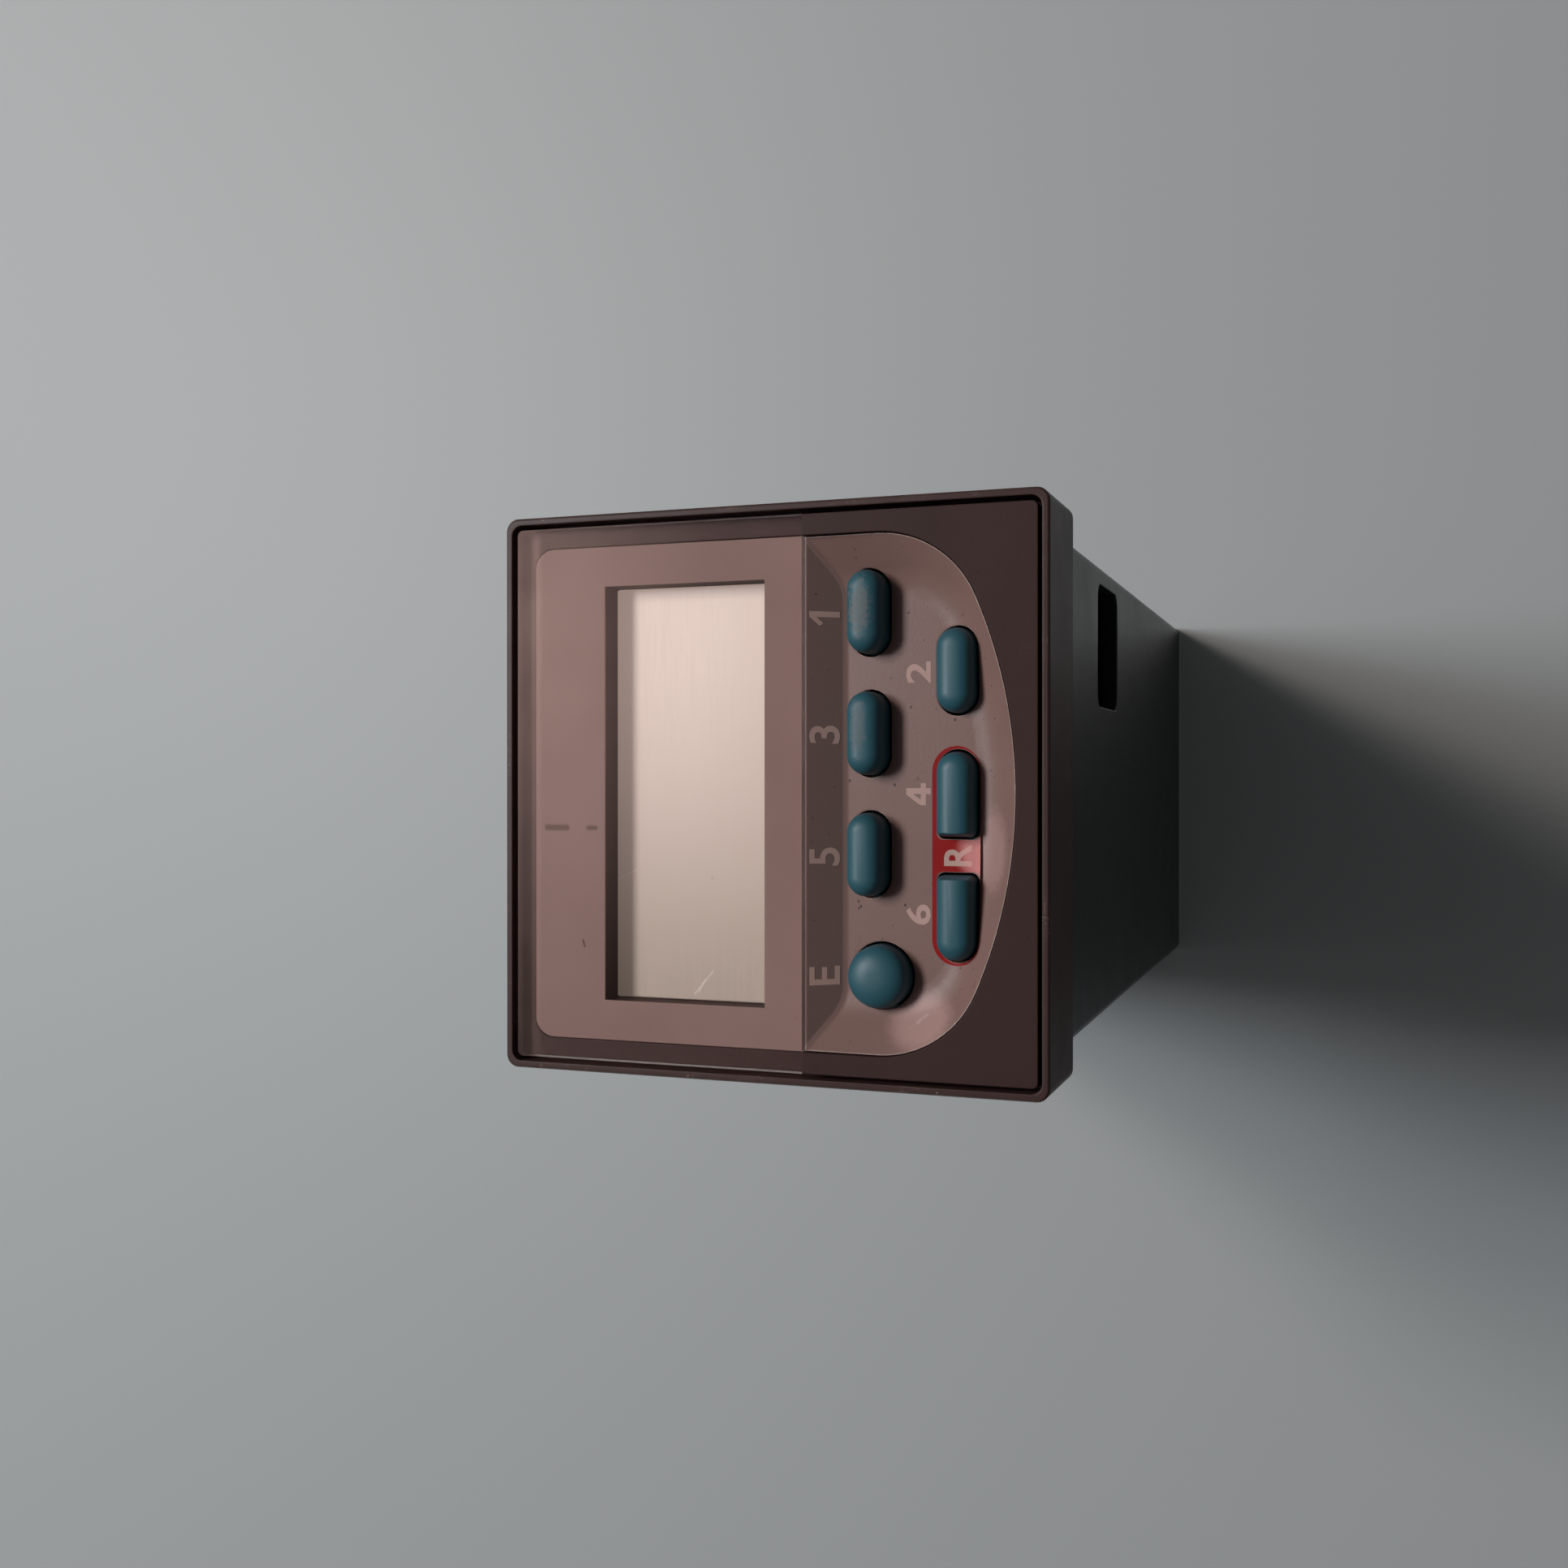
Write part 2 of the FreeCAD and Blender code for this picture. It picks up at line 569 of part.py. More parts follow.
def make_front_panel():
    body = new_body("front_panel")
    pad(body, rectangle(PANEL_SIDE, PANEL_SIDE, "panel_corner"), PANEL_FACE, PANEL_BACK)
    tube = rectangle(f"{VIEW_WIDTH} + 2 * tube_wall", "view_height + 2 * tube_wall", "tube_wall")
    pad(body, tube, PANEL_BACK, BOWL_BACK, z=VIEW_MIDDLE)
    height = f"({PANEL_SIDE} / 2 + window_drop)"
    pocket(body, rectangle(f"{PANEL_SIDE} + 2 * cut_reach", f"{height} + cut_reach"),
           "0", WINDOW_BACK, z=f"({height} + cut_reach) / 2 - window_drop")
    mask_height = f"({height} - mask_top_border)"
    pocket(body, rectangle(MASK_WIDTH, mask_height, "mask_corner", upper_only=True),
           WINDOW_BACK, MASK_BACK, z=f"{mask_height} / 2 - window_drop")
    pocket(body, rectangle(VIEW_WIDTH, "view_height"), MASK_BACK, BOWL_BACK, z=VIEW_MIDDLE)
    opening = dish_outline(DISH_HALF, "-window_drop", DISH_APEX, "dish_corner", "dish_bottom_radius")
    pocket(body, opening, "0", PANEL_BACK)


def make_display_window():
    body = new_body("display_window")
    height = f"({PANEL_SIDE} / 2 + window_drop)"
    pad(body, rectangle(PANEL_SIDE, height, "panel_corner", upper_only=True),
        PANEL_FACE, WINDOW_BACK, z=f"{height} / 2 - window_drop")


def make_display_mask():
    body = new_body("display_mask")
    height = f"({PANEL_SIDE} / 2 + window_drop - mask_top_border)"
    width = f"({MASK_WIDTH} - 2 * fit_gap)"
    pad(body, rectangle(width, f"{height} - fit_gap", "mask_corner - fit_gap", upper_only=True),
        WINDOW_BACK, MASK_BACK, z=f"({height} - fit_gap) / 2 - window_drop")
    pocket(body, rectangle(VIEW_WIDTH, "view_height"), WINDOW_BACK, MASK_BACK, z=VIEW_MIDDLE)


# Keypad


def make_keypad_bowl():
    body = new_body("keypad_bowl")
    inner = f"({INNER_SIDE} / 2 - board_gap)"
    flange = f"({HOUSING_SIDE} / 2 - fit_gap)"
    pad(body, rectangle(f"2 * {flange}", f"{flange} + {FLANGE_TOP}", "housing_corner"),
        PANEL_BACK, HOUSING_FRONT, z=f"({FLANGE_TOP} - {flange}) / 2")
    pad(body, rectangle(f"2 * {inner}", f"{inner} + {FLANGE_TOP}"),
        HOUSING_FRONT, BOWL_BACK, z=f"({FLANGE_TOP} - {inner}) / 2")
    block_outline = dish_outline(f"({DISH_HALF} - fit_gap)", "-(window_drop + fit_gap)",
                                 f"({DISH_APEX} - fit_gap)", "(dish_corner - fit_gap)",
                                 "(dish_bottom_radius - fit_gap)")
    pad(body, block_outline, PANEL_FACE, PANEL_BACK)
    for side in ("", "-"):
        pad(body, rectangle("boss_side", "boss_side"), BOWL_BACK, BOARD_FRONT,
            f"{side}{BOSS_PLACE}", f"-{BOSS_PLACE}")
    hollow_dish(body)
    for label, (x, z, form) in KEYS.items():
        pocket(body, key_outline(form, "key_gap"), "0", BOWL_BACK, x, z)


def hollow_dish(body):
    """Sink the dish: a steep legend strip at the top, a tilted floor and flanks that sweep up to it."""
    mouth = dish_outline(f"({DISH_HALF} + mouth_growth)", "(strip_head_rise - window_drop)",
                         f"({DISH_APEX} + mouth_apex_growth)", "(dish_corner + mouth_growth)",
                         "dish_bottom_radius")
    floor = dish_outline(f"({DISH_HALF} - floor_side_border)", "0", FLOOR_LENGTH, "floor_corner",
                         "dish_bottom_radius")
    mouth_sketch = face_sketch(body, mouth, "mouth_depth")
    floor_sketch = face_sketch(body, floor, "strip_foot_depth", z="-strip_foot_drop")
    across = FreeCAD.Rotation(Vector(1, 0, 0), -value("floor_tilt"))
    floor_sketch.AttachmentOffset = FreeCAD.Placement(floor_sketch.AttachmentOffset.Base, across)
    bind(floor_sketch, "AttachmentOffset.Rotation.Angle", "-floor_tilt")
    loft(body, "SubtractiveLoft", [mouth_sketch, floor_sketch], grows=False)
    foot = value("-strip_foot_drop")
    tilt = math.radians(value("floor_tilt"))
    outward = Vector(0, -math.cos(tilt), math.sin(tilt))

    def on_floor(edge):
        return any(
            face.normalAt(0, 0).isEqual(outward, 1e-4)
            for face in body.Tip.Shape.ancestorsOfType(edge, Part.Face)
        )

    fillet(body, "flank_blend", lambda edge: on_floor(edge) and not in_plane(edge, "z", foot), grows=True)
    fillet(body, "strip_blend", lambda edge: on_floor(edge) and in_plane(edge, "z", foot), grows=True)


def make_key(label, x, z, form):
    """A key with a softened top, and an ear at each end that keeps it from falling out."""
    body = new_body(label)
    length = "enter_diameter" if form == "round" else "key_length"
    pad(body, key_outline(form, "0"), "key_top_depth", KEY_BACK, x, z)
    pad(body, rectangle(f"{length} + 2 * ear_reach", "ear_width"), BOWL_BACK, KEY_BACK, x, z)
    top = depth_to_y("key_top_depth")
    if form == "round":
        chamfer(body, "enter_bevel", lambda edge: in_plane(edge, "y", top))
    else:
        fillet(body, "key_dome", lambda edge: in_plane(edge, "y", top))


def make_key_mat():
    body = new_body("key_mat")
    reach = f"({BOSS_PLACE} - boss_side / 2)"
    top = f"({VIEW_MIDDLE} - {FRAME_HEIGHT} / 2 - mat_frame_gap)"
    pad(body, rectangle(f"2 * ({reach} - mat_gap)", f"{top} + {reach}"),
        MAT_FRONT, BOARD_FRONT, z=f"({top} - {reach}) / 2")
    for label, (x, z, form) in KEYS.items():
        pad(body, rectangle("plunger_side", "plunger_side"), PLUNGER_TOP, MAT_FRONT, x, z)


# Display


def make_display():
    body = new_body("lcd_front_glass")
    pad(body, rectangle(GLASS_WIDTH, FRONT_GLASS_HEIGHT), BOWL_BACK, GLASS_JOINT, z=VIEW_MIDDLE)
    body = new_body("lcd_rear_glass")
    pad(body, rectangle(GLASS_WIDTH, REAR_GLASS_HEIGHT), GLASS_JOINT, GLASS_BACK, z=VIEW_MIDDLE)
    body = new_body("lcd_reflector")
    pad(body, rectangle(GLASS_WIDTH, REAR_GLASS_HEIGHT), GLASS_BACK, REFLECTOR_BACK, z=VIEW_MIDDLE)
    for label, side in (("contact_strip_upper", "+"), ("contact_strip_lower", "-")):
        body = new_body(label)
        middle = f"{VIEW_MIDDLE} {side} ({REAR_GLASS_HEIGHT} / 2 + glass_ledge / 2)"
        pad(body, rectangle(VIEW_WIDTH, "strip_width"), GLASS_JOINT, BOARD_FRONT, z=middle)
    body = new_body("lcd_frame")
    pad(body, rectangle(FRAME_WIDTH, FRAME_HEIGHT), BOWL_BACK, BOARD_FRONT, z=VIEW_MIDDLE)
    pocket(body, rectangle(f"{FRAME_WIDTH} - 2 * lcd_frame_wall", f"{FRAME_HEIGHT} - 2 * lcd_frame_wall"),
           BOWL_BACK, BOARD_FRONT, z=VIEW_MIDDLE)
    body = new_body("display_board")
    pad(body, rectangle(BOARD_SIDE, BOARD_SIDE), BOARD_FRONT, BOARD_BACK)
    half = f"({BOARD_FACE} - driver_gap)"
    sub_parts.append(block("display_driver", "0", f"2 * {half}", BOARD_BACK, f"{BOARD_BACK} + driver_height",
                           f"-{half}", half))


# Housing


def make_housing():
    body = new_body("housing")
    rear_side = f"({HOUSING_SIDE} - 2 * housing_draft)"
    outer = rectangle(HOUSING_SIDE, HOUSING_SIDE, "housing_corner")
    pad(body, outer, HOUSING_FRONT, "bezel_depth")
    front_section = face_sketch(body, outer, "bezel_depth")
    rear_section = face_sketch(body, rectangle(rear_side, rear_side, "housing_corner"), "overall_depth")
    loft(body, "AdditiveLoft", [front_section, rear_section], grows=True)
    inner = rectangle(INNER_SIDE, INNER_SIDE)
    ring_side = f"{INNER_SIDE} - 2 * ring_width"
    pocket(body, inner, HOUSING_FRONT, BOARD_BACK)
    pocket(body, rectangle(ring_side, ring_side), BOARD_BACK, RING_BACK)
    pocket(body, inner, RING_BACK, "overall_depth")
    bump = pad(body, rectangle("2 * latch_height", "latch_width"), "latch_depth",
               "latch_depth + latch_length", x=f"{HOUSING_SIDE} / 2")
    polar(body, bump, 4)
    add_board_guides(body)
    pocket(body, rectangle(f"{HOUSING_SIDE} + 2 * cut_reach", "tab_width + 2 * tab_play"),
           f"{COVER_FRONT} - tab_play", f"{COVER_FRONT} + tab_length + tab_play")
    cut_port(body)


def add_board_guides(body):
    """Pairs of ribs down both walls, one pair to each long board's edge."""
    above = "(board_spacing / 2 + board_thickness + rib_play + rib_width / 2)"
    below = "(board_spacing / 2 - rib_play - rib_width / 2)"
    for side in ("", "-"):
        for level in (above, below, f"-{above}", f"-{below}"):
            pad(body, rectangle("rib_height * 2", "rib_width"), LONG_BOARD_FRONT, LONG_BOARD_BACK,
                f"{side}({INNER_SIDE} / 2)", level)


def cut_port(body):
    """The opening in the underside."""
    sketch = body.newObject("Sketcher::SketchObject", "Sketch")
    sketch.AttachmentSupport = (origin_feature(body, "XY_Plane"), "")
    sketch.MapMode = "FlatFace"
    bind(sketch, "AttachmentOffset.Base.x", f"{INNER_SIDE} / 2 - port_side_gap - port_width / 2")
    bind(sketch, "AttachmentOffset.Base.y", "port_depth + port_length / 2 - bezel_depth")
    bind(sketch, "AttachmentOffset.Base.z", f"cut_reach - {INNER_SIDE} / 2")
    rectangle("port_width", "port_length", "port_corner")(sketch)
    feature = body.newObject("PartDesign::Pocket", "Pocket")
    feature.Profile = sketch
    bind(feature, "Length", "housing_wall + 2 * cut_reach")
    finish_feature(body, feature, grows=False)


# Long boards and what they carry


def make_long_boards():
    for label, low in (("upper_board", "board_spacing / 2"), ("lower_board", f"-{BOARD_FACE}")):
        sub_parts.append(block(label, "0", BOARD_SIDE, LONG_BOARD_FRONT, LONG_BOARD_BACK,
                               low, f"{low} + board_thickness"))
    for label, upper in (("header_upper", True), ("header_lower", False)):
        add_component(label, "0", "header_width", BOARD_BACK, "(board_setback + header_lap)",
                      "header_height", upper)


def add_component(label, x, width, front, length, height, upper):
    """A plain component on the outer face of one of the long boards."""
    back = f"({front}) + {length}"
    if upper:
        solid = block(label, x, width, front, back, BOARD_FACE, f"{BOARD_FACE} + {height}")
    else:
        solid = block(label, x, width, front, back, f"-({BOARD_FACE} + {height})", f"-{BOARD_FACE}")
    sub_parts.append(solid)


def make_logic():
    start = f"{LONG_BOARD_FRONT} + controller_setback"
    add_component("controller_chip", "0", "controller_side", start, "controller_side",
                  "controller_height", True)
    add_component("memory_chip", "-controller_side", "memory_width", start, "memory_length",
                  "memory_height", True)
    add_component("crystal", "controller_side", "crystal_width", start, "crystal_length",
                  "crystal_height", True)
    for number in (1, 2, 3):
        add_component(f"optocoupler_{number}", f"{number - 2} * opto_pitch", "opto_width",
                      f"{BLOCK_FRONT} - opto_clearance - opto_length", "opto_length", "opto_height", True)


def make_power():
    """The supply: transformer and relay at the left, and a row of parts down the right side."""
    make_transformer(f"({LONG_BOARD_FRONT} + header_lap + core_gap)")
    left = f"-{INNER_SIDE} / 2 + relay_side_gap"
    add_component("relay", f"{left} + relay_width / 2", "relay_width",
                  f"{BLOCK_FRONT} - relay_clearance - relay_length", "relay_length", "relay_height", False)
    right = f"{INNER_SIDE} / 2 - supply_side_gap"
    regulator = f"({BLOCK_FRONT} - regulator_clearance - regulator_length)"
    add_component("regulator", f"{right} - regulator_width / 2", "regulator_width", regulator,
                  "regulator_length", "regulator_height", False)
    capacitor = f"({regulator} - capacitor_clearance - capacitor_length)"
    radius = "capacitor_diameter / 2"
    sub_parts.append(rod("filter_capacitor", f"{right} - {radius}", f"-({BOARD_FACE} + {radius})",
                         "capacitor_diameter", capacitor, f"{capacitor} + capacitor_length"))
    rectifier = f"({capacitor} - rectifier_clearance - rectifier_length)"
    add_component("rectifier", f"{right} - rectifier_width / 2", "rectifier_width", rectifier,
                  "rectifier_length", "rectifier_height", False)


def make_transformer(front):
    """A core of two windows, and one winding round its middle limb that stands on the board."""
    back = f"{front} + core_length"
    middle = f"(core_width / 2 + core_side_gap - {INNER_SIDE} / 2)"
    high = f"-({BOARD_FACE} + winding_bulge)"
    low = f"(winding_clearance + winding_bulge - {INNER_SIDE} / 2)"
    window = "((core_width - 2 * core_wall) / 4)"
    solid = block("core_blank", middle, "core_width", front, back, low, high)
    for label, side in (("core_half_cut", "+"), ("transformer_core", "-")):
        hole = block(f"{label}_window", f"{middle} {side} ({window} + {window} / 2)", window,
                     f"{front} + core_wall", f"{back} - core_wall",
                     f"{low} - cut_reach", f"{high} + cut_reach")
        solid = cut(label, solid, hole)
    sub_parts.append(solid)
    coil = block("coil_blank", middle, f"4 * {window} - 2 * winding_play",
                 f"{front} + core_wall + winding_play", f"{back} - core_wall - winding_play",
                 f"{low} - winding_bulge", f"-{BOARD_FACE}")
    limb = block("coil_bore", middle, f"2 * {window} + 2 * winding_play", front, back,
                 f"{low} - winding_play", f"{high} + winding_play")
    sub_parts.append(cut("transformer_winding", coil, limb))


# Rear end


def make_rear_cover():
    body = new_body("rear_cover")
    side = f"{INNER_SIDE} - 2 * cover_play"
    pad(body, rectangle(side, side), COVER_FRONT, COVER_BACK)
    pad(body, rectangle(f"{INNER_SIDE} + 2 * tab_reach", "tab_width"), COVER_FRONT,
        f"{COVER_FRONT} + tab_length")
    for sign in ("", "-"):
        pocket(body, rectangle(f"{BLOCK_WIDTH} + 2 * block_play", "block_height + 2 * block_play"),
               COVER_FRONT, COVER_BACK, z=f"{sign}({BOARD_FACE} + block_height / 2)")


def make_terminals(place_name, sign):
    """One row of terminals: moulded block, clamps behind the wire entries, and screws."""
    body = new_body(f"terminal_block_{place_name}")
    first = f"-({POLE_COUNT} - 1) / 2 * pole_pitch"
    pad(body, rectangle(BLOCK_WIDTH, "block_height"), BLOCK_FRONT, COVER_BACK,
        z=f"{sign}({BOARD_FACE} + block_height / 2)")
    entry = pocket(body, rectangle("entry_width", "entry_height"), f"{COVER_BACK} - entry_length",
                   COVER_BACK, first, f"{sign}({BOARD_FACE} + entry_rise)")
    along_row(body, entry)
    hole = pocket(body, rectangle("screw_hole", "screw_hole"), SCREW_FRONT, COVER_BACK, first,
                  f"{sign}({BOARD_FACE} + screw_rise)")
    along_row(body, hole)
    screws, clamps = [], []
    for pole in range(int(value(POLE_COUNT))):
        x = f"({pole} - ({POLE_COUNT} - 1) / 2) * pole_pitch"
        level = f"{sign}({BOARD_FACE} + screw_rise)"
        head = rod("screw_head", x, level, "screw_head", SCREW_FRONT, SCREW_BACK, corners=8)
        slot = block("screw_slot", x, "screw_head + screw_slot", f"{SCREW_BACK} - screw_slot",
                     f"{SCREW_BACK} + screw_slot", f"{level} - screw_slot / 2", f"{level} + screw_slot / 2")
        screws.append(cut("screw", head, slot))
        middle = f"{sign}({BOARD_FACE} + entry_rise)"
        inside = f"{COVER_BACK} - entry_length"
        sheet_box = block("clamp_box", x, "entry_width", inside, f"{inside} + clamp_length",
                          f"{middle} - entry_height / 2", f"{middle} + entry_height / 2")
        bore = block("clamp_bore", x, "entry_width - 2 * clamp_wall", f"{inside} - cut_reach",
                     f"{inside} + clamp_length + cut_reach", f"{middle} - entry_height / 2 + clamp_wall",
                     f"{middle} + entry_height / 2 - clamp_wall")
        clamps.append(cut("clamp", sheet_box, bore))
    group(f"terminal_screws_{place_name}", screws)
    group(f"wire_clamps_{place_name}", clamps)


make_bezel_frame()
make_front_panel()
make_display_window()
make_display_mask()
make_keypad_bowl()
for name, (key_x, key_z, key_form) in KEYS.items():
    make_key(name, key_x, key_z, key_form)
make_key_mat()
make_display()
make_housing()
make_long_boards()
make_logic()
make_power()
make_rear_cover()
make_terminals("upper", "")
make_terminals("lower", "-")
doc.recompute()

for item in doc.Objects:
    if "Invalid" in item.State or "Error" in item.State:
        raise RuntimeError(f"{item.Label} failed: {item.State}")
os.makedirs("parts", exist_ok=True)
for part in sub_parts:
    if part.Shape.isNull() or not part.Shape.isValid():
        raise RuntimeError(f"{part.Label} has no valid shape")
    part.Shape.exportStep(f"parts/{part.Label}.step")
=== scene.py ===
# Looks of a square panel counter: finishes, domed keys, legends, stage, light and camera.
import math
import bmesh
import bpy
from mathutils import Matrix, Vector
from mathutils.bvhtree import BVHTree


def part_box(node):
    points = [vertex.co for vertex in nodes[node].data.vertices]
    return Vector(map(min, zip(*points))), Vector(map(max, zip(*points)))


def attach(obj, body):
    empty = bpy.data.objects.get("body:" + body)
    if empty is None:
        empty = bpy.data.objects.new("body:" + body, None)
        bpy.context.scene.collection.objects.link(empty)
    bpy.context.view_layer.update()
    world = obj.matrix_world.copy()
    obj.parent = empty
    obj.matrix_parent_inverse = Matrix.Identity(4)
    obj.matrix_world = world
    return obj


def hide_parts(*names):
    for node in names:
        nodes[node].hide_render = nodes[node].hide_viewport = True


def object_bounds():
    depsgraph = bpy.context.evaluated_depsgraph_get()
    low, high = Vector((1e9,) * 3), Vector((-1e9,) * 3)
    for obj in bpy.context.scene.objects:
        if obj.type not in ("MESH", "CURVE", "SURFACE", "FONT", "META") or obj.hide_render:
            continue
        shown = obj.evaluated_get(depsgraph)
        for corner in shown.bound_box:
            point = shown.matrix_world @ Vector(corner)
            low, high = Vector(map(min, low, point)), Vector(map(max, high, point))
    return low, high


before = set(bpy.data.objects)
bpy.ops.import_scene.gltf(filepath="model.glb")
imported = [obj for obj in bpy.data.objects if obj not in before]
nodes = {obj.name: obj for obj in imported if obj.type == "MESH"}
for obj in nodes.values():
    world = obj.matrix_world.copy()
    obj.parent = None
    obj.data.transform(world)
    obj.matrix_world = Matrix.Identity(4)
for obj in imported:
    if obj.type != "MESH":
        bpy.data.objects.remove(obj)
cad_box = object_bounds()

MM = 0.001
ROOT = "instrument"


# Colours and node trees
def srgb(red, green, blue):
    """Linear colour with alpha from a colour given as 0 to 255 screen values."""
    channels = []
    for value in (red, green, blue):
        share = value / 255
        if share <= 0.04045:
            channels.append(share / 12.92)
        else:
            channels.append(((share + 0.055) / 1.055) ** 2.4)
    return (*channels, 1.0)


class Wiring:
    """A node tree with short calls that add nodes and join them."""

    def __init__(self, tree):
        self.tree = tree

    def add(self, kind, sockets=None, **settings):
        node = self.tree.nodes.new(kind)
        for name, setting in settings.items():
            setattr(node, name, setting)
        for name, value in (sockets or {}).items():
            self.feed(node.inputs[name], value)
        return node

    def feed(self, socket, value):
        if isinstance(value, bpy.types.NodeSocket):
            self.tree.links.new(value, socket)
        else:
            socket.default_value = value

    def calc(self, operation, first, second=0.0):
        return self.add("ShaderNodeMath", {0: first, 1: second}, operation=operation).outputs[0]

    def scaled(self, value, factor, base):
        """Value times a factor, plus a base."""
        sockets = {0: value, 1: factor, 2: base}
        return self.add("ShaderNodeMath", sockets, operation="MULTIPLY_ADD").outputs[0]

    def parts(self, vector):
        """The three coordinates of a vector."""
        return self.add("ShaderNodeSeparateXYZ", {0: vector}).outputs

    def vector(self, operation, first, second):
        return self.add("ShaderNodeVectorMath", {0: first, 1: second}, operation=operation)

    def tint(self, amount, first, second):
        sockets = {0: amount, 6: first, 7: second}
        return self.add("ShaderNodeMix", sockets, data_type="RGBA").outputs[2]

    def fade(self, value, low, high):
        """Soft rise from 0 at low to 1 at high."""
        sockets = {"Value": value, "From Min": low, "From Max": high}
        return self.add("ShaderNodeMapRange", sockets, interpolation_type="SMOOTHSTEP").outputs[0]

    def cloud(self, place, scale, detail=2.0):
        sockets = {"Vector": place, "Scale": scale, "Detail": detail}
        return self.add("ShaderNodeTexNoise", sockets).outputs[0]

    def use(self, group, **sockets):
        return self.add("ShaderNodeGroup", sockets, node_tree=group).outputs


def new_group(name, inputs, outputs):
    """Empty shared group with its wiring, its input sockets and its output sockets."""
    tree = bpy.data.node_groups.new(name, "ShaderNodeTree")
    for label, kind in inputs.items():
        tree.interface.new_socket(label, in_out="INPUT", socket_type="NodeSocket" + kind)
    for label, kind in outputs.items():
        tree.interface.new_socket(label, in_out="OUTPUT", socket_type="NodeSocket" + kind)
    wiring = Wiring(tree)
    return wiring, wiring.add("NodeGroupInput").outputs, wiring.add("NodeGroupOutput").inputs


# Shared effects: scales of their noise per metre, and where their masks fade, as shares
BROAD_SHARE = 0.03
WEAR_SCALE = 1500.0
WEAR_RAGGED = 0.35
WEAR_FADE = (-0.08, 0.1)
SPECK_SIZE = 0.2
SPECK_FADE = (0.0, 0.1)
SCRATCH_FADE = (0.0, 0.012)
PATCH_SCALE = 260.0
PATCH_START = 0.75
PATCH_GAIN = 0.4
PATCH_FULL = 0.8
SPOT_SCALE = 2200.0
SPOT_FADE = (0.45, 1.0)
LINE_FADE = (0.3, 1.0)


def make_grain():
    """Fine moulded grain as a height, and a broad uneven tone."""
    wiring, given, made = new_group(
        "moulded grain", {"Place": "Vector", "Scale": "Float"}, {"Height": "Float", "Tone": "Float"})
    wiring.feed(made["Height"], wiring.cloud(given["Place"], given["Scale"], 3.0))
    broad = wiring.calc("MULTIPLY", given["Scale"], BROAD_SHARE)
    wiring.feed(made["Tone"], wiring.cloud(given["Place"], broad, 4.0))
    return wiring.tree


def make_edges():
    """Rounded normal at the edges, and a broken mask of the edges, for rubbed wear and for painted shade and
    highlight along edges.
    """
    wiring, given, made = new_group(
        "rubbed edges", {"Place": "Vector", "Radius": "Float"}, {"Wear": "Float", "Normal": "Vector"})
    rounded = wiring.add("ShaderNodeBevel", {"Radius": given["Radius"]}, samples=6).outputs[0]
    flat = wiring.add("ShaderNodeNewGeometry").outputs["Normal"]
    turn = wiring.calc("SUBTRACT", 1.0, wiring.vector("DOT_PRODUCT", rounded, flat).outputs["Value"])
    ragged = wiring.calc("MULTIPLY", wiring.cloud(given["Place"], WEAR_SCALE, 4.0), WEAR_RAGGED)
    wiring.feed(made["Wear"], wiring.fade(wiring.calc("SUBTRACT", turn, ragged), *WEAR_FADE))
    wiring.feed(made["Normal"], rounded)
    return wiring.tree


def make_specks():
    """Scattered small specks: a share of the cells carries one."""
    wiring, given, made = new_group(
        "specks", {"Place": "Vector", "Scale": "Float", "Share": "Float"}, {"Mask": "Float"})
    cells = wiring.add("ShaderNodeTexVoronoi", {"Vector": given["Place"], "Scale": given["Scale"]})
    chance = wiring.add("ShaderNodeSeparateColor", {"Color": cells.outputs["Color"]}).outputs
    chosen = wiring.calc("LESS_THAN", chance[0], given["Share"])
    size = wiring.calc("MULTIPLY", chance[1], SPECK_SIZE)
    outside = wiring.calc("SUBTRACT", cells.outputs["Distance"], size)
    near = wiring.calc("SUBTRACT", 1.0, wiring.fade(outside, *SPECK_FADE))
    wiring.feed(made["Mask"], wiring.calc("MULTIPLY", chosen, near))
    return wiring.tree


def make_scratches():
    """Thin broken lines drawn out along one axis of the stretch."""
    wiring, given, made = new_group(
        "scratches", {"Place": "Vector", "Stretch": "Vector", "Share": "Float"}, {"Mask": "Float"})
    drawn = wiring.vector("MULTIPLY", given["Place"], given["Stretch"]).outputs[0]
    ridge = wiring.calc("ABSOLUTE", wiring.calc("SUBTRACT", wiring.cloud(drawn, 1.0, 1.0), 0.5))
    line = wiring.calc("SUBTRACT", 1.0, wiring.fade(ridge, *SCRATCH_FADE))
    least = wiring.calc("SUBTRACT", PATCH_START, wiring.calc("MULTIPLY", given["Share"], PATCH_GAIN))
    patch = wiring.fade(wiring.cloud(given["Place"], PATCH_SCALE), least, PATCH_FULL)
    wiring.feed(made["Mask"], wiring.calc("MULTIPLY", line, patch))
    return wiring.tree


def make_spot():
    """One soft ragged spot of given middle and reach."""
    inputs = {"Place": "Vector", "Middle": "Vector", "Reach": "Vector", "Ragged": "Float"}
    wiring, given, made = new_group("spot", inputs, {"Mask": "Float"})
    offset = wiring.vector("SUBTRACT", given["Place"], given["Middle"]).outputs[0]
    share = wiring.vector("DIVIDE", offset, given["Reach"]).outputs[0]
    far = wiring.add("ShaderNodeVectorMath", {0: share}, operation="LENGTH").outputs["Value"]
    uneven = wiring.calc("SUBTRACT", wiring.cloud(given["Place"], SPOT_SCALE, 4.0), 0.5)
    edge = wiring.scaled(uneven, given["Ragged"], far)
    wiring.feed(made["Mask"], wiring.calc("SUBTRACT", 1.0, wiring.fade(edge, *SPOT_FADE)))
    return wiring.tree


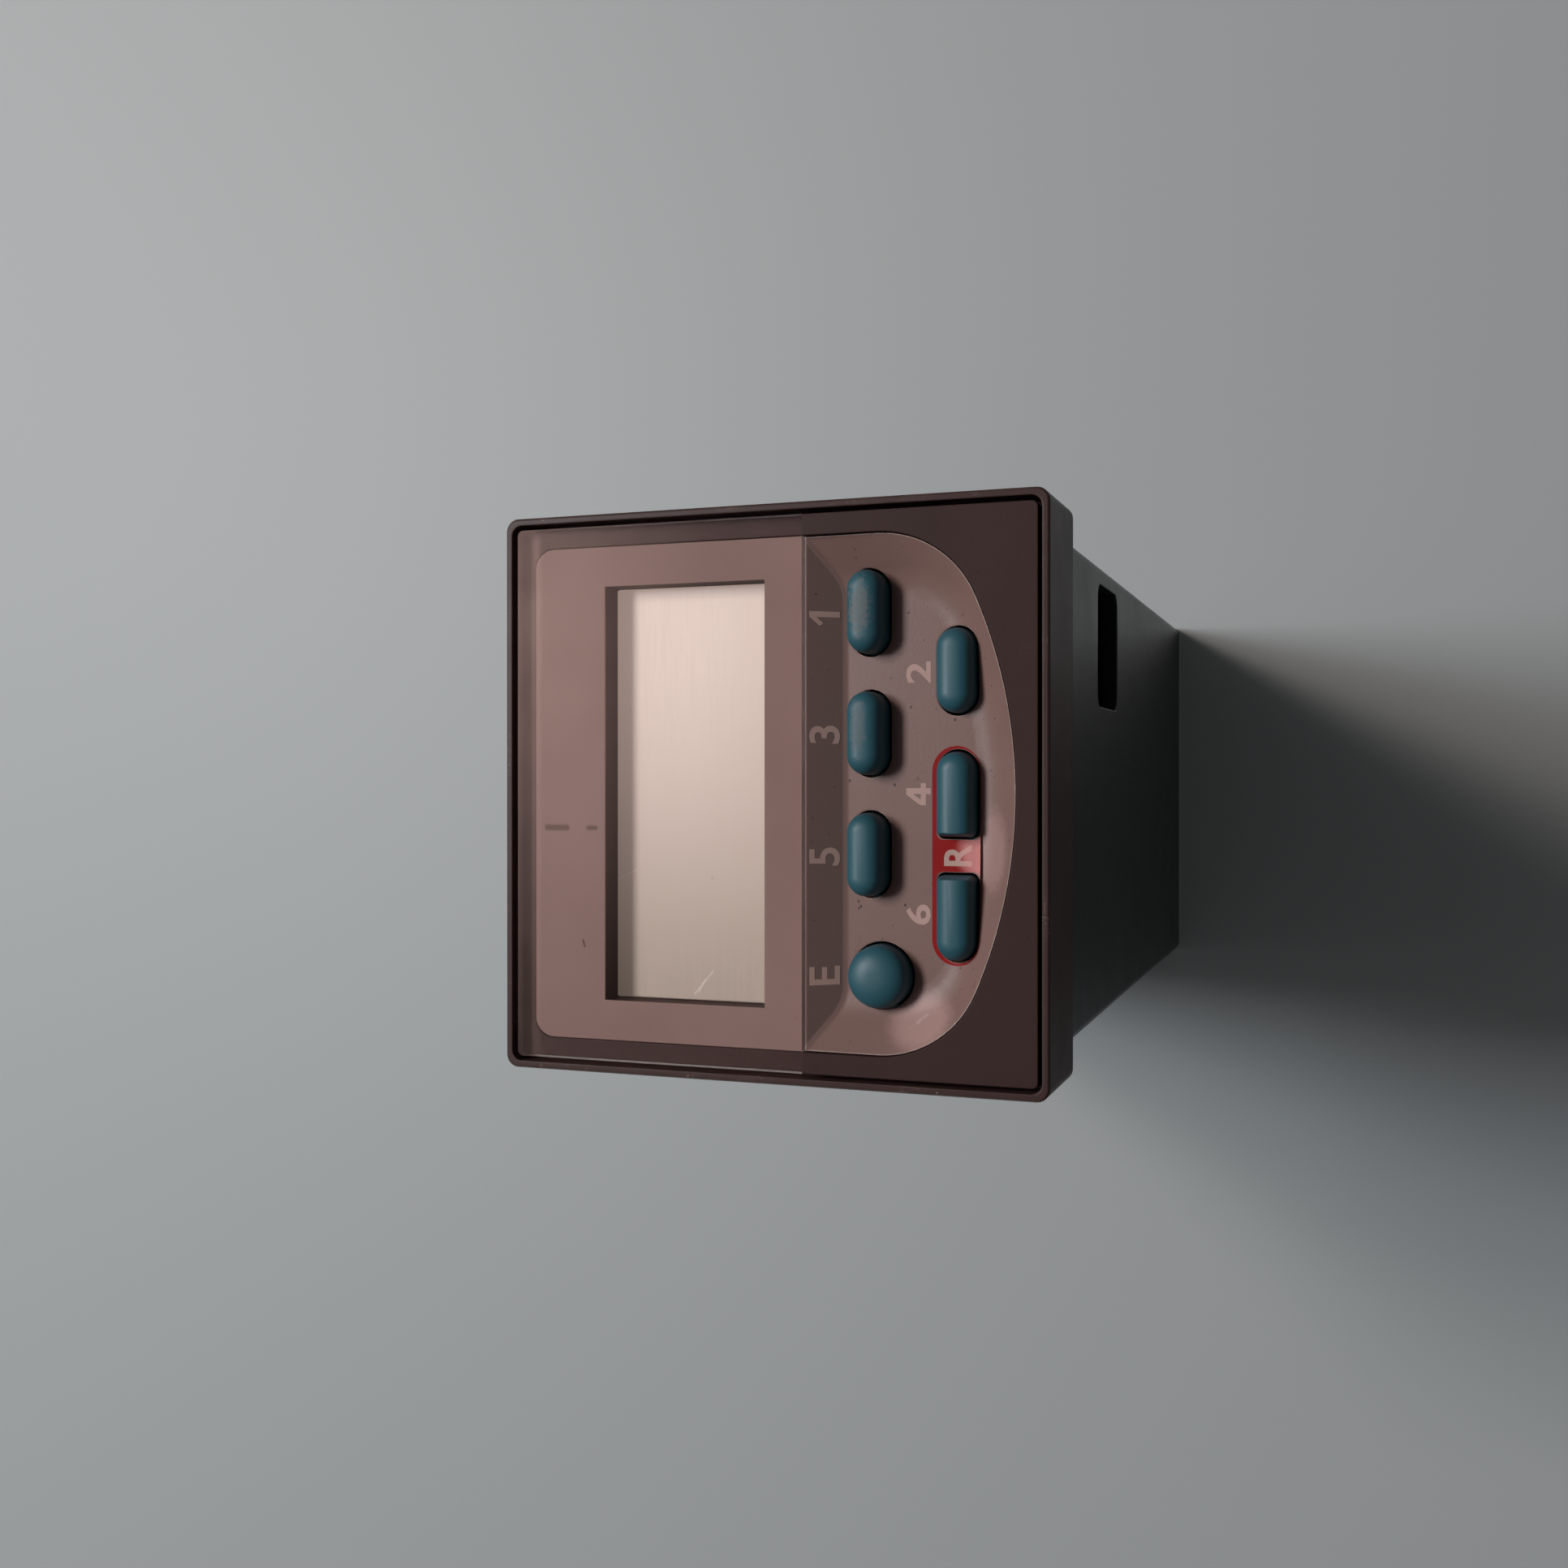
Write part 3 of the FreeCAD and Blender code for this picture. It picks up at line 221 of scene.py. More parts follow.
def make_line():
    """One thin straight mark between two ends, fading across its width."""
    inputs = {"Place": "Vector", "Start": "Vector", "Stop": "Vector", "Width": "Float"}
    wiring, given, made = new_group("line mark", inputs, {"Mask": "Float"})
    along = wiring.vector("SUBTRACT", given["Stop"], given["Start"]).outputs[0]
    reach = wiring.vector("SUBTRACT", given["Place"], given["Start"]).outputs[0]
    covered = wiring.vector("DOT_PRODUCT", reach, along).outputs["Value"]
    whole = wiring.vector("DOT_PRODUCT", along, along).outputs["Value"]
    share = wiring.add("ShaderNodeClamp", {"Value": wiring.calc("DIVIDE", covered, whole)}).outputs[0]
    foot = wiring.add("ShaderNodeVectorMath", {0: along, "Scale": share}, operation="SCALE").outputs[0]
    gap = wiring.vector("SUBTRACT", reach, foot).outputs[0]
    away = wiring.add("ShaderNodeVectorMath", {0: gap}, operation="LENGTH").outputs["Value"]
    side = wiring.fade(wiring.calc("DIVIDE", away, given["Width"]), *LINE_FADE)
    wiring.feed(made["Mask"], wiring.calc("SUBTRACT", 1.0, side))
    return wiring.tree


GRAIN = make_grain()
EDGES = make_edges()
SPECKS = make_specks()
SCRATCHES = make_scratches()
SPOT = make_spot()
LINE = make_line()


# Finishes: where the grain's tone turns to its shade, and what tone and wear add to the roughness
TONE_FADE = (0.35, 0.7)
TONE_POLISH = 0.14
WORN_POLISH = -0.12


class Finish(Wiring):
    """A material on one principled shader, with the looks that finishes share."""

    def __init__(self, name, colour, roughness, metallic=0.0, gleam=0.5):
        self.material = bpy.data.materials.new(name)
        self.material.use_nodes = True
        super().__init__(self.material.node_tree)
        self.tree.nodes.clear()
        self.output = self.add("ShaderNodeOutputMaterial").inputs["Surface"]
        self.shader = self.add("ShaderNodeBsdfPrincipled")
        self.feed(self.output, self.shader.outputs[0])
        self.place = self.add("ShaderNodeTexCoord").outputs["Object"]
        self.colour = colour
        self.roughness = roughness
        self.normal = None
        self.shader.inputs["Metallic"].default_value = metallic
        self.shader.inputs["Specular IOR Level"].default_value = gleam

    def mark(self, mask, colour, strength=1.0):
        """Lays a colour over the finish where the mask is."""
        self.colour = self.tint(self.calc("MULTIPLY", mask, strength), self.colour, colour)

    def polish(self, mask, change):
        """Adds to the roughness where the mask is."""
        self.roughness = self.scaled(mask, change, self.roughness)

    def grain(self, scale, depth, shade, shading):
        """Moulded grain of a depth in mm, with an uneven tone toward a shade."""
        made = self.use(GRAIN, Place=self.place, Scale=scale)
        self.mark(self.fade(made["Tone"], *TONE_FADE), shade, shading)
        self.polish(self.calc("SUBTRACT", made["Tone"], 0.5), TONE_POLISH)
        sockets = {"Strength": 1.0, "Distance": depth * MM, "Height": made["Height"]}
        if self.normal is not None:
            sockets["Normal"] = self.normal
        self.normal = self.add("ShaderNodeBump", sockets).outputs[0]

    def edges(self, radius, colour, strength):
        """Edges rounded by a radius in mm and turned toward a colour: rubbed wear, which on the fascia is
        painted shade and on the dish also a painted highlight.
        """
        made = self.use(EDGES, Place=self.place, Radius=radius * MM)
        self.normal = made["Normal"]
        self.mark(made["Wear"], colour, strength)
        self.polish(made["Wear"], WORN_POLISH)

    def specks(self, scale, share, colour, strength):
        """Scattered specks, the more the larger their share."""
        self.mark(self.use(SPECKS, Place=self.place, Scale=scale, Share=share)["Mask"], colour, strength)

    def scratches(self, stretch, share, colour, strength):
        """Fine scratches, drawn out where the stretch is small."""
        mask = self.use(SCRATCHES, Place=self.place, Stretch=stretch, Share=share)["Mask"]
        self.mark(mask, colour, strength)

    def spot(self, middle, reach, ragged, colour, strength, polish=0.0):
        """One spot, its middle and reach in mm, which may change the roughness too."""
        middle = Vector(middle) * MM
        reach = Vector(reach) * MM
        mask = self.use(SPOT, Place=self.place, Middle=middle, Reach=reach, Ragged=ragged)["Mask"]
        self.mark(mask, colour, strength)
        if polish:
            self.polish(mask, polish)

    def line(self, start, stop, width, colour, strength):
        """One straight mark, its ends and width in mm."""
        ends = {"Start": Vector(start) * MM, "Stop": Vector(stop) * MM, "Width": width * MM}
        self.mark(self.use(LINE, Place=self.place, **ends)["Mask"], colour, strength)

    def done(self):
        """Joins what was gathered to the shader, and gives the material."""
        self.feed(self.shader.inputs["Base Color"], self.colour)
        self.feed(self.shader.inputs["Roughness"], self.roughness)
        if self.normal is not None:
            self.feed(self.shader.inputs["Normal"], self.normal)
        return self.material


def moulded(name, colour, roughness, rubbed, shade, radius=0.08, gleam=0.4, speck=None, wear_and_painted_light=0.5):
    """Moulded plastic: edges rounded and rubbed toward a colour (painted shade on the fascia, wear and a
    painted highlight on the dish), fine grain in a shade, a few specks.
    """
    finish = Finish(name, srgb(*colour), roughness, gleam=gleam)
    finish.edges(radius, srgb(*rubbed), wear_and_painted_light)
    finish.grain(scale=5000.0, depth=0.008, shade=srgb(*shade), shading=0.35)
    finish.specks(scale=1600.0, share=0.03, colour=srgb(*(speck or rubbed)), strength=0.4)
    return finish


def metal(name, colour, roughness, shade):
    """Plated or bare metal with drawn marks and tarnish."""
    finish = Finish(name, srgb(*colour), roughness, metallic=1.0)
    finish.edges(radius=0.1, colour=srgb(235, 233, 228), strength=0.4)
    finish.grain(scale=3000.0, depth=0.004, shade=srgb(*shade), shading=0.5)
    finish.scratches(stretch=(300.0, 9000.0, 3000.0), share=0.6, colour=srgb(*shade), strength=0.5)
    return finish.done()


def bezel_finish():
    """Brown bezel, scratched both ways, with pale specks."""
    finish = moulded("bezel_brown", (62, 44, 41), 0.42, (108, 84, 79), (52, 36, 34), radius=0.2, gleam=0.16)
    finish.scratches(stretch=(500.0, 3000.0, 5000.0), share=0.7, colour=srgb(146, 122, 115), strength=0.55)
    finish.scratches(stretch=(5000.0, 3000.0, 500.0), share=0.7, colour=srgb(146, 122, 115), strength=0.55)
    finish.specks(scale=2400.0, share=0.05, colour=srgb(136, 114, 108), strength=0.5)
    return finish.done()


# Depths in mm between which painted shade darkens the fascia in the recess behind the window
RECESS_MOUTH = -9.3
RECESS_FLOOR = -8.7


def fascia_finish():
    """Dark fascia: edges darkened as painted shade, grime specks, painted shade darkening the recess behind
    the window.
    """
    # Painted shade: this edge colour darkens the fascia's edges as a shadow line, and it also marks its
    # grime specks
    grime = (30, 20, 19)
    finish = moulded("fascia_brown", (55, 37, 35), 0.55, grime, (48, 32, 30), radius=0.16, gleam=0.12)
    finish.scratches(stretch=(9000.0, 4000.0, 500.0), share=0.4, colour=srgb(104, 88, 86), strength=0.4)
    depth = finish.parts(finish.place)[1]
    # Painted shade in the recess behind the window
    finish.mark(finish.fade(depth, RECESS_MOUTH * MM, RECESS_FLOOR * MM), srgb(44, 27, 26), 0.8)
    return finish.done()


# Marks on the dish, their places and sizes in mm: specks and cracks, and on the flanks painted highlights as
# glare spots and glint streaks
DISH_SPECKS = (
    (-9.3, -6.95, -7.7), (-8.9, -6.95, -7.5), (-9.1, -7.4, -11.6), (1.1, -6.95, -6.7),
    (0.75, -7.3, -10.7), (7.1, -7.4, -12.1), (14.8, -7.4, -11.9), (6.0, -7.9, -15.9),
)
FLANK_HIGHLIGHT_STREAKS = (
    ((-13.6, -8.0, -15.1), (-15.4, -8.0, -14.4), 0.3),
    ((-15.0, -8.0, -14.9), (-17.0, -8.2, -13.9), 0.3),
    ((-16.6, -8.1, -14.1), (-18.4, -8.4, -12.9), 0.3),
    ((-17.8, -8.3, -13.6), (-18.9, -8.6, -12.2), 0.3),
    ((-13.3, -7.9, -14.6), (-14.3, -7.9, -14.3), 0.12),
    ((-14.2, -8.0, -15.0), (-15.3, -8.0, -14.8), 0.12),
    ((-15.6, -8.1, -14.3), (-16.8, -8.2, -13.7), 0.1),
    ((-17.2, -8.3, -13.3), (-18.2, -8.4, -12.5), 0.1),
    ((-18.0, -8.4, -12.9), (-18.8, -8.5, -11.9), 0.12),
)
FLANK_GLARES = (
    ((-18.4, -8.4, -13.2), (3.4, 2.6, 3.6), 0.2, (166, 132, 126), 0.65),
    ((-4.6, -8.3, -19.2), (4.2, 2.0, 1.7), 0.3, (166, 132, 127), 0.4),
)
DISH_CRACKS = (
    ((-11.7, -6.95, -7.7), (-12.65, -6.95, -7.5), 0.09, 0.8),
    ((0.2, -7.15, -6.45), (-0.5, -7.15, -6.55), 0.16, 0.9),
    ((-0.5, -7.15, -6.55), (-0.9, -7.2, -6.8), 0.1, 0.8),
)
SPECK_REACH = (0.17, 0.5, 0.12)

# Rise of the dish's normal where the legend strip begins, and where it is full; the downward-facing strip is
# painted paler there as painted light
STRIP_PAINTED_LIGHT_SLOPE = (-0.3, -0.5)


def dish_finish():
    """Taupe dish: lip rubbed pale with a painted highlight, legend strip painted paler as painted light,
    painted glare and highlight streaks on its flanks, specks, cracks.
    """
    grime = (70, 54, 51)
    # Lip colour on the edges: rubbed wear and a painted highlight
    lip = (214, 190, 182)
    finish = moulded(
        "dish_taupe", (117, 91, 85), 0.36, lip, (107, 82, 77),
        radius=0.2, gleam=0.13, speck=grime, wear_and_painted_light=0.85)
    facing = finish.add("ShaderNodeTexCoord").outputs["Normal"]
    rising = finish.parts(facing)[2]
    # Painted light: the strip, which faces away from the lamps, painted paler
    finish.mark(finish.fade(rising, *STRIP_PAINTED_LIGHT_SLOPE), srgb(138, 113, 107), 0.85)
    # Painted highlights: glare spots on the flanks
    for middle, reach, ragged, colour, strength in FLANK_GLARES:
        finish.spot(middle, reach, ragged, srgb(*colour), strength)
    finish.scratches(stretch=(2500.0, 3000.0, 6000.0), share=0.3, colour=srgb(166, 144, 138), strength=0.5)
    finish.specks(scale=2000.0, share=0.05, colour=srgb(58, 44, 42), strength=0.7)
    finish.specks(scale=3600.0, share=0.04, colour=srgb(50, 38, 36), strength=0.7)
    for middle in DISH_SPECKS:
        finish.spot(middle, SPECK_REACH, 0.6, srgb(34, 25, 24), 0.85)
    for start, stop, width, strength in DISH_CRACKS:
        finish.line(start, stop, width, srgb(30, 22, 22), strength)
    # Painted highlights: pale glint streaks within the flank's glare
    for start, stop, width in FLANK_HIGHLIGHT_STREAKS:
        finish.line(start, stop, width, srgb(206, 182, 176), 0.35)
    return finish.done()


# Wear of the keys: how ragged a rub is, and the width of a nick in mm
RUB_RAGGED = 2.0
NICK_WIDTH = 0.2


def key_finish(name, rubs=(), nicks=()):
    """Teal key: each rub is a middle, a reach and how far it has gone grey; nicks are dark."""
    finish = moulded(name, (36, 78, 89), 0.5, (54, 94, 104), (30, 70, 80), radius=0.1)
    for middle, reach, strength in rubs:
        finish.spot(middle, reach, RUB_RAGGED, srgb(88, 92, 93), strength, polish=0.1)
    if rubs:
        finish.specks(scale=2600.0, share=0.12, colour=srgb(26, 30, 32), strength=0.8)
    for start, stop in nicks:
        finish.line(start, stop, NICK_WIDTH, srgb(24, 28, 30), 0.75)
    return finish.done()


# Glare on the ink, in mm, and how much darker its uneven tone is
GLARE_MIDDLE = (-4.7, -7.8, -18.3)
GLARE_REACH = (3.0, 3.0, 2.6)
INK_SHADE = 0.86


def ink_finish(name, colour, roughness, glare=0.0):
    """Printed ink, paler by a share where the light glares off the dish's foot."""
    finish = Finish(name, srgb(*colour), roughness, gleam=0.08)
    shade = srgb(*[value * INK_SHADE for value in colour])
    finish.grain(scale=4000.0, depth=0.004, shade=shade, shading=0.4)
    finish.specks(scale=3000.0, share=0.05, colour=srgb(110, 90, 86), strength=0.4)
    if glare:
        finish.spot(GLARE_MIDDLE, GLARE_REACH, 0.2, srgb(214, 150, 146), glare)
    return finish.done()


# Printed and scratched marks on the mask, in mm: depth, place across, lower and upper end, width
MASK_FACE = -8.2
DASH_PLACE = -3.0
MASK_DASHES = ((18.7, 20.6, 0.4), (15.9, 16.6, 0.3))


def mask_finish():
    """Printed foil with two faded dashes and one small scratch."""
    finish = Finish("mask_taupe", srgb(132, 107, 103), 0.6, gleam=0.1)
    finish.grain(scale=2600.0, depth=0.003, shade=srgb(122, 97, 93), shading=0.4)
    finish.specks(scale=2400.0, share=0.03, colour=srgb(100, 80, 77), strength=0.5)
    for low, high, width in MASK_DASHES:
        start = (DASH_PLACE, MASK_FACE, low)
        stop = (DASH_PLACE, MASK_FACE, high)
        finish.line(start, stop, width, srgb(84, 62, 58), 0.85)
    start = (-12.8, MASK_FACE, 17.1)
    stop = (-13.3, MASK_FACE, 16.95)
    finish.line(start, stop, 0.14, srgb(60, 46, 44), 0.8)
    return finish.done()


# Window: shares of its haze (a dust veil, raised toward its top as a painted reflection and on its brim as
# painted light), the places where these fade in, its smudges and its refractive index
HAZE_AND_PAINTED_REFLECTION = 0.065
LEAST_HAZE = 0.004
BRIM_PAINTED_LIGHT = 0.13
LEAST_BRIM = 0.35
PAINTED_REFLECTION_SPAN = (-22 * MM, 14 * MM)
PAINTED_REFLECTION_RISE = (2 * MM, 23 * MM)
BRIM_SPAN = (-22 * MM, 22 * MM)
BRIM_RISE = (20.9 * MM, 21.6 * MM)
SMUDGE_SCALE = 260.0
SMUDGE_GAIN = 0.6
LEAST_SMUDGE = 0.7
CLEAR_INDEX = 1.49


def window_finish():
    """Clear plate: faint mirror, a dust veil that grows toward its top as a painted reflection and on its
    brim as painted light, brown sawn edges, lit through without a shadow.
    """
    finish = Finish("window_clear", srgb(250, 244, 240), 0.02)
    finish.scratches(stretch=(9000.0, 4000.0, 700.0), share=0.5, colour=srgb(236, 226, 222), strength=0.3)
    finish.specks(scale=700.0, share=0.03, colour=srgb(214, 204, 200), strength=0.6)
    facing = finish.add("ShaderNodeTexCoord").outputs["Normal"]
    forward = finish.parts(facing)[1]
    rim = finish.calc("LESS_THAN", finish.calc("ABSOLUTE", forward), 0.5)
    finish.polish(rim, 0.35)
    finish.mark(rim, srgb(74, 54, 50))
    finish.shader.inputs["Transmission Weight"].default_value = 1.0
    finish.shader.inputs["IOR"].default_value = CLEAR_INDEX
    finish.shader.inputs["Specular Tint"].default_value = srgb(62, 62, 62)
    passing = finish.add("ShaderNodeBsdfTransparent").outputs[0]
    path = finish.add("ShaderNodeLightPath").outputs
    lighting = finish.calc("MAXIMUM", path["Is Shadow Ray"], path["Is Diffuse Ray"])
    across, _, height = finish.parts(finish.place)
    # Painted reflection: the veil rises toward the top and the right end
    painted_reflection_rise = finish.calc("MULTIPLY", finish.fade(across, *PAINTED_REFLECTION_SPAN), finish.fade(height, *PAINTED_REFLECTION_RISE))
    veil_of_dust_and_light = finish.scaled(painted_reflection_rise, HAZE_AND_PAINTED_REFLECTION, LEAST_HAZE)
    uneven = finish.scaled(finish.fade(across, *BRIM_SPAN), 1 - LEAST_BRIM, LEAST_BRIM)
    # Painted light: the veil brightens the shaded band along the top brim
    brim_painted_light = finish.calc("MULTIPLY", finish.fade(height, *BRIM_RISE), uneven)
    veil_of_dust_and_light = finish.scaled(brim_painted_light, BRIM_PAINTED_LIGHT, veil_of_dust_and_light)
    smudge = finish.scaled(finish.cloud(finish.place, SMUDGE_SCALE, 3.0), SMUDGE_GAIN, LEAST_SMUDGE)
    haze_and_painted_light = finish.calc("MULTIPLY", veil_of_dust_and_light, smudge)
    dust_and_painted_light = finish.add("ShaderNodeBsdfDiffuse", {"Color": srgb(232, 192, 182)}).outputs[0]
    hazed = finish.add("ShaderNodeMixShader", {0: haze_and_painted_light, 1: finish.shader.outputs[0], 2: dust_and_painted_light}).outputs[0]
    mixed = finish.add("ShaderNodeMixShader", {0: lighting, 1: hazed, 2: passing})
    finish.feed(finish.output, mixed.outputs[0])
    return finish.done()


# Display: depth of its film and the ends of its scratches in mm, where it is painted brighter as painted
# light, where it turns darker toward its lower end, its streaks
FILM_FACE = -5.95
FILM_SCRATCHES = (((-17.3, 7.5), (-15.3, 5.8)), ((-17.1, 7.1), (-16.0, 6.5)), ((-7.5, 14.7), (-6.7, 13.1)))
PAINTED_LIGHT_SPAN = (-22 * MM, 16 * MM)
DULL_DROP = (9 * MM, 0.0)
STREAK_STRETCH = (250.0, 250.0, 4000.0)
STREAK_FADE = (0.4, 0.7)


def display_finish():
    """Pale display, painted brighter toward its right end, with a painted glow from within that rises the
    same way, though it is no lamp.
    """
    finish = Finish("display_pale", srgb(154, 142, 134), 0.7, gleam=0.1)
    across, _, height = finish.parts(finish.place)
    # Painted light: the base colour brightens toward the right end
    painted_light_rise = finish.fade(across, *PAINTED_LIGHT_SPAN)
    finish.mark(painted_light_rise, srgb(212, 199, 192))
    finish.mark(finish.fade(height, *DULL_DROP), srgb(150, 138, 130), 0.22)
    drawn = finish.vector("MULTIPLY", finish.place, STREAK_STRETCH).outputs[0]
    finish.mark(finish.fade(finish.cloud(drawn, 1.0, 3.0), *STREAK_FADE), srgb(180, 166, 158), 0.15)
    for (start_x, start_z), (stop_x, stop_z) in FILM_SCRATCHES:
        start = (start_x, FILM_FACE, start_z)
        stop = (stop_x, FILM_FACE, stop_z)
        finish.line(start, stop, 0.1, srgb(255, 248, 244), 0.18)
    finish.grain(scale=900.0, depth=0.001, shade=srgb(180, 166, 158), shading=0.2)
    # Painted light: a glow from within, brighter toward the right end
    lit = finish.tint(painted_light_rise, srgb(84, 76, 70), srgb(140, 126, 121))
    finish.feed(finish.shader.inputs["Emission Color"], lit)
    finish.shader.inputs["Emission Strength"].default_value = 1.0
    return finish.done()


# Tracks of the boards: cells per metre, and where in a cell the track runs
TRACK_SCALE = 420.0
TRACK_PLACE = 0.7
TRACK_HALF = 0.06


def board_finish():
    """Green lacquered laminate with paler tracks."""
    finish = Finish("board_green", srgb(34, 82, 56), 0.35)
    sockets = {"Vector": finish.place, "Scale": TRACK_SCALE, "Randomness": 0.0}
    cells = finish.add("ShaderNodeTexVoronoi", sockets, distance="MANHATTAN", feature="F2")
    away = finish.calc("ABSOLUTE", finish.calc("SUBTRACT", cells.outputs[0], TRACK_PLACE))
    finish.mark(finish.calc("LESS_THAN", away, TRACK_HALF), srgb(72, 122, 78), 0.7)
    finish.grain(scale=2500.0, depth=0.003, shade=srgb(28, 70, 48), shading=0.4)
    return finish.done()


FINISHES = {
    "bezel_plastic": bezel_finish(),
    "fascia_plastic": fascia_finish(),
    "clear_window": window_finish(),
    "mask_print": mask_finish(),
    "dish_plastic": dish_finish(),
    "mat_rubber": moulded("mat_grey", (92, 92, 96), 0.8, (110, 110, 112), (84, 84, 88)).done(),
    "strip_rubber": moulded("strip_pink", (196, 150, 150), 0.75, (208, 168, 166), (180, 134, 134)).done(),
    "display_glass": display_finish(),
    "reflector_film": ink_finish("reflector_silver", (196, 198, 196), roughness=0.3),
    "frame_plastic": moulded("frame_ivory", (208, 204, 190), 0.5, (224, 220, 208), (194, 190, 176)).done(),
    "board_laminate": board_finish(),
    "chip_epoxy": moulded("chip_black", (36, 36, 38), 0.55, (78, 78, 80), (28, 28, 30)).done(),
    "header_plastic": moulded("header_black", (30, 31, 33), 0.45, (66, 67, 70), (24, 25, 26)).done(),
    "can_metal": metal("can_tin", (196, 196, 192), 0.32, (150, 150, 148)),
    "core_steel": metal("core_lamination", (112, 110, 108), 0.5, (84, 72, 62)),
    "coil_copper": metal("coil_wire", (178, 108, 70), 0.4, (128, 72, 46)),
    "relay_plastic": moulded("relay_blue", (44, 74, 128), 0.4, (84, 112, 158), (38, 64, 112)).done(),
    "housing_plastic": moulded(
        "housing_black", (22, 23, 23), 0.36, (72, 75, 75), (18, 19, 19), radius=0.25).done(),
    "cover_plastic": moulded(
        "cover_black", (34, 36, 36), 0.42, (88, 92, 92), (28, 30, 30), radius=0.2).done(),
    "terminal_plastic": moulded("terminal_black", (38, 40, 41), 0.45, (92, 94, 95), (30, 32, 33)).done(),
    "screw_steel": metal("screw_zinc", (188, 188, 184), 0.3, (134, 132, 126)),
    "clamp_metal": metal("clamp_brass", (196, 178, 128), 0.34, (150, 130, 88)),
}
KEY_TEAL = key_finish("key_teal")

# Nicks and rubs of the two worn keys, in mm
KEY_NICKS = (
    ((16.3, -10.2, -8.7), (15.8, -10.2, -8.75)),
    ((15.25, -10.2, -8.45), (15.0, -10.2, -8.5)),
    ((15.3, -10.1, -8.1), (15.05, -10.1, -8.15)),
)
KEY_WORN = {
    "key_1": key_finish("key_teal_worn", [((15.2, -9.9, -8.35), (2.8, 2.0, 1.15), 0.75)], KEY_NICKS),
    "key_3": key_finish("key_teal_rubbed", [((5.6, -9.9, -8.2), (2.4, 2.0, 0.9), 0.4)]),
}
# The strip's legends are the same print as the floor's, painted paler as painted light on the shaded strip
STRIP_INK_PAINTED_LIGHT = ink_finish("strip_legend_tan_painted_light", (204, 167, 157), roughness=0.5)
FLOOR_INK = ink_finish("floor_legend_tan", (168, 138, 130), roughness=0.5, glare=0.6)
RED_INK = ink_finish("reset_red", (130, 6, 8), roughness=0.5, glare=0.6)

NODE_SLOTS = {
    "bezel_frame": "bezel_plastic",
    "front_panel": "fascia_plastic",
    "display_mask": "mask_print",
    "keypad_bowl": "dish_plastic",
    "key_mat": "mat_rubber",
    "contact_strip_upper": "strip_rubber",
    "contact_strip_lower": "strip_rubber",
    "lcd_front_glass": "display_glass",
    "lcd_rear_glass": "display_glass",
    "lcd_reflector": "reflector_film",
    "lcd_frame": "frame_plastic",
    "display_board": "board_laminate",
    "upper_board": "board_laminate",
    "lower_board": "board_laminate",
    "display_driver": "chip_epoxy",
    "controller_chip": "chip_epoxy",
    "memory_chip": "chip_epoxy",
    "optocoupler_1": "chip_epoxy",
    "optocoupler_2": "chip_epoxy",
    "optocoupler_3": "chip_epoxy",
    "rectifier": "chip_epoxy",
    "regulator": "chip_epoxy",
    "header_upper": "header_plastic",
    "header_lower": "header_plastic",
    "crystal": "can_metal",
    "filter_capacitor": "can_metal",
    "transformer_core": "core_steel",
    "transformer_winding": "coil_copper",
    "relay": "relay_plastic",
    "housing": "housing_plastic",
    "rear_cover": "cover_plastic",
    "terminal_block_upper": "terminal_plastic",
    "terminal_block_lower": "terminal_plastic",
    "wire_clamps_upper": "clamp_metal",
    "wire_clamps_lower": "clamp_metal",
}
for node_name, slot in NODE_SLOTS.items():
    slots = nodes[node_name].data.materials
    slots.clear()
    slots.append(FINISHES[slot])


# Pieces
def new_piece(name, mesh, finish, body):
    """Mesh piece with one finish, riding on a body."""
    mesh.materials.clear()
    mesh.materials.append(finish)
    piece = bpy.data.objects.new(name, mesh)
    bpy.context.scene.collection.objects.link(piece)
    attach(piece, body)
    return piece


def mesh_from(name, build):
    """Mesh of what is left in build, which is freed."""
    bmesh.ops.recalc_face_normals(build, faces=build.faces)
    mesh = bpy.data.meshes.new(name)
    build.to_mesh(mesh)
    build.free()
    return mesh


def bridge(build, first, second):
    """Faces between two closed rows of points of the same length."""
    faces = []
    for index in range(len(first)):
        after = (index + 1) % len(first)
        faces.append(build.faces.new((first[index], first[after], second[after], second[index])))
    return faces


# Clear plate, lifted off the printed mask behind it
MASK_GAP = 0.03 * MM


def clear_plate():
    """Window plate like the plain one, with an air gap behind it."""
    mesh = nodes["display_window"].data.copy()
    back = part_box("display_window")[1][1]
    for vertex in mesh.vertices:
        if vertex.co.y > back - MASK_GAP:
            vertex.co.y = back - MASK_GAP
    plate = new_piece("clear_plate", mesh, FINISHES["clear_window"], ROOT)
    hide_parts("display_window")


clear_plate()

# Polarising film on the display glass
FILM_PLAY = 0.12 * MM
FILM_ROUND = 0.05 * MM
MASK_MARGIN = 3 * MM


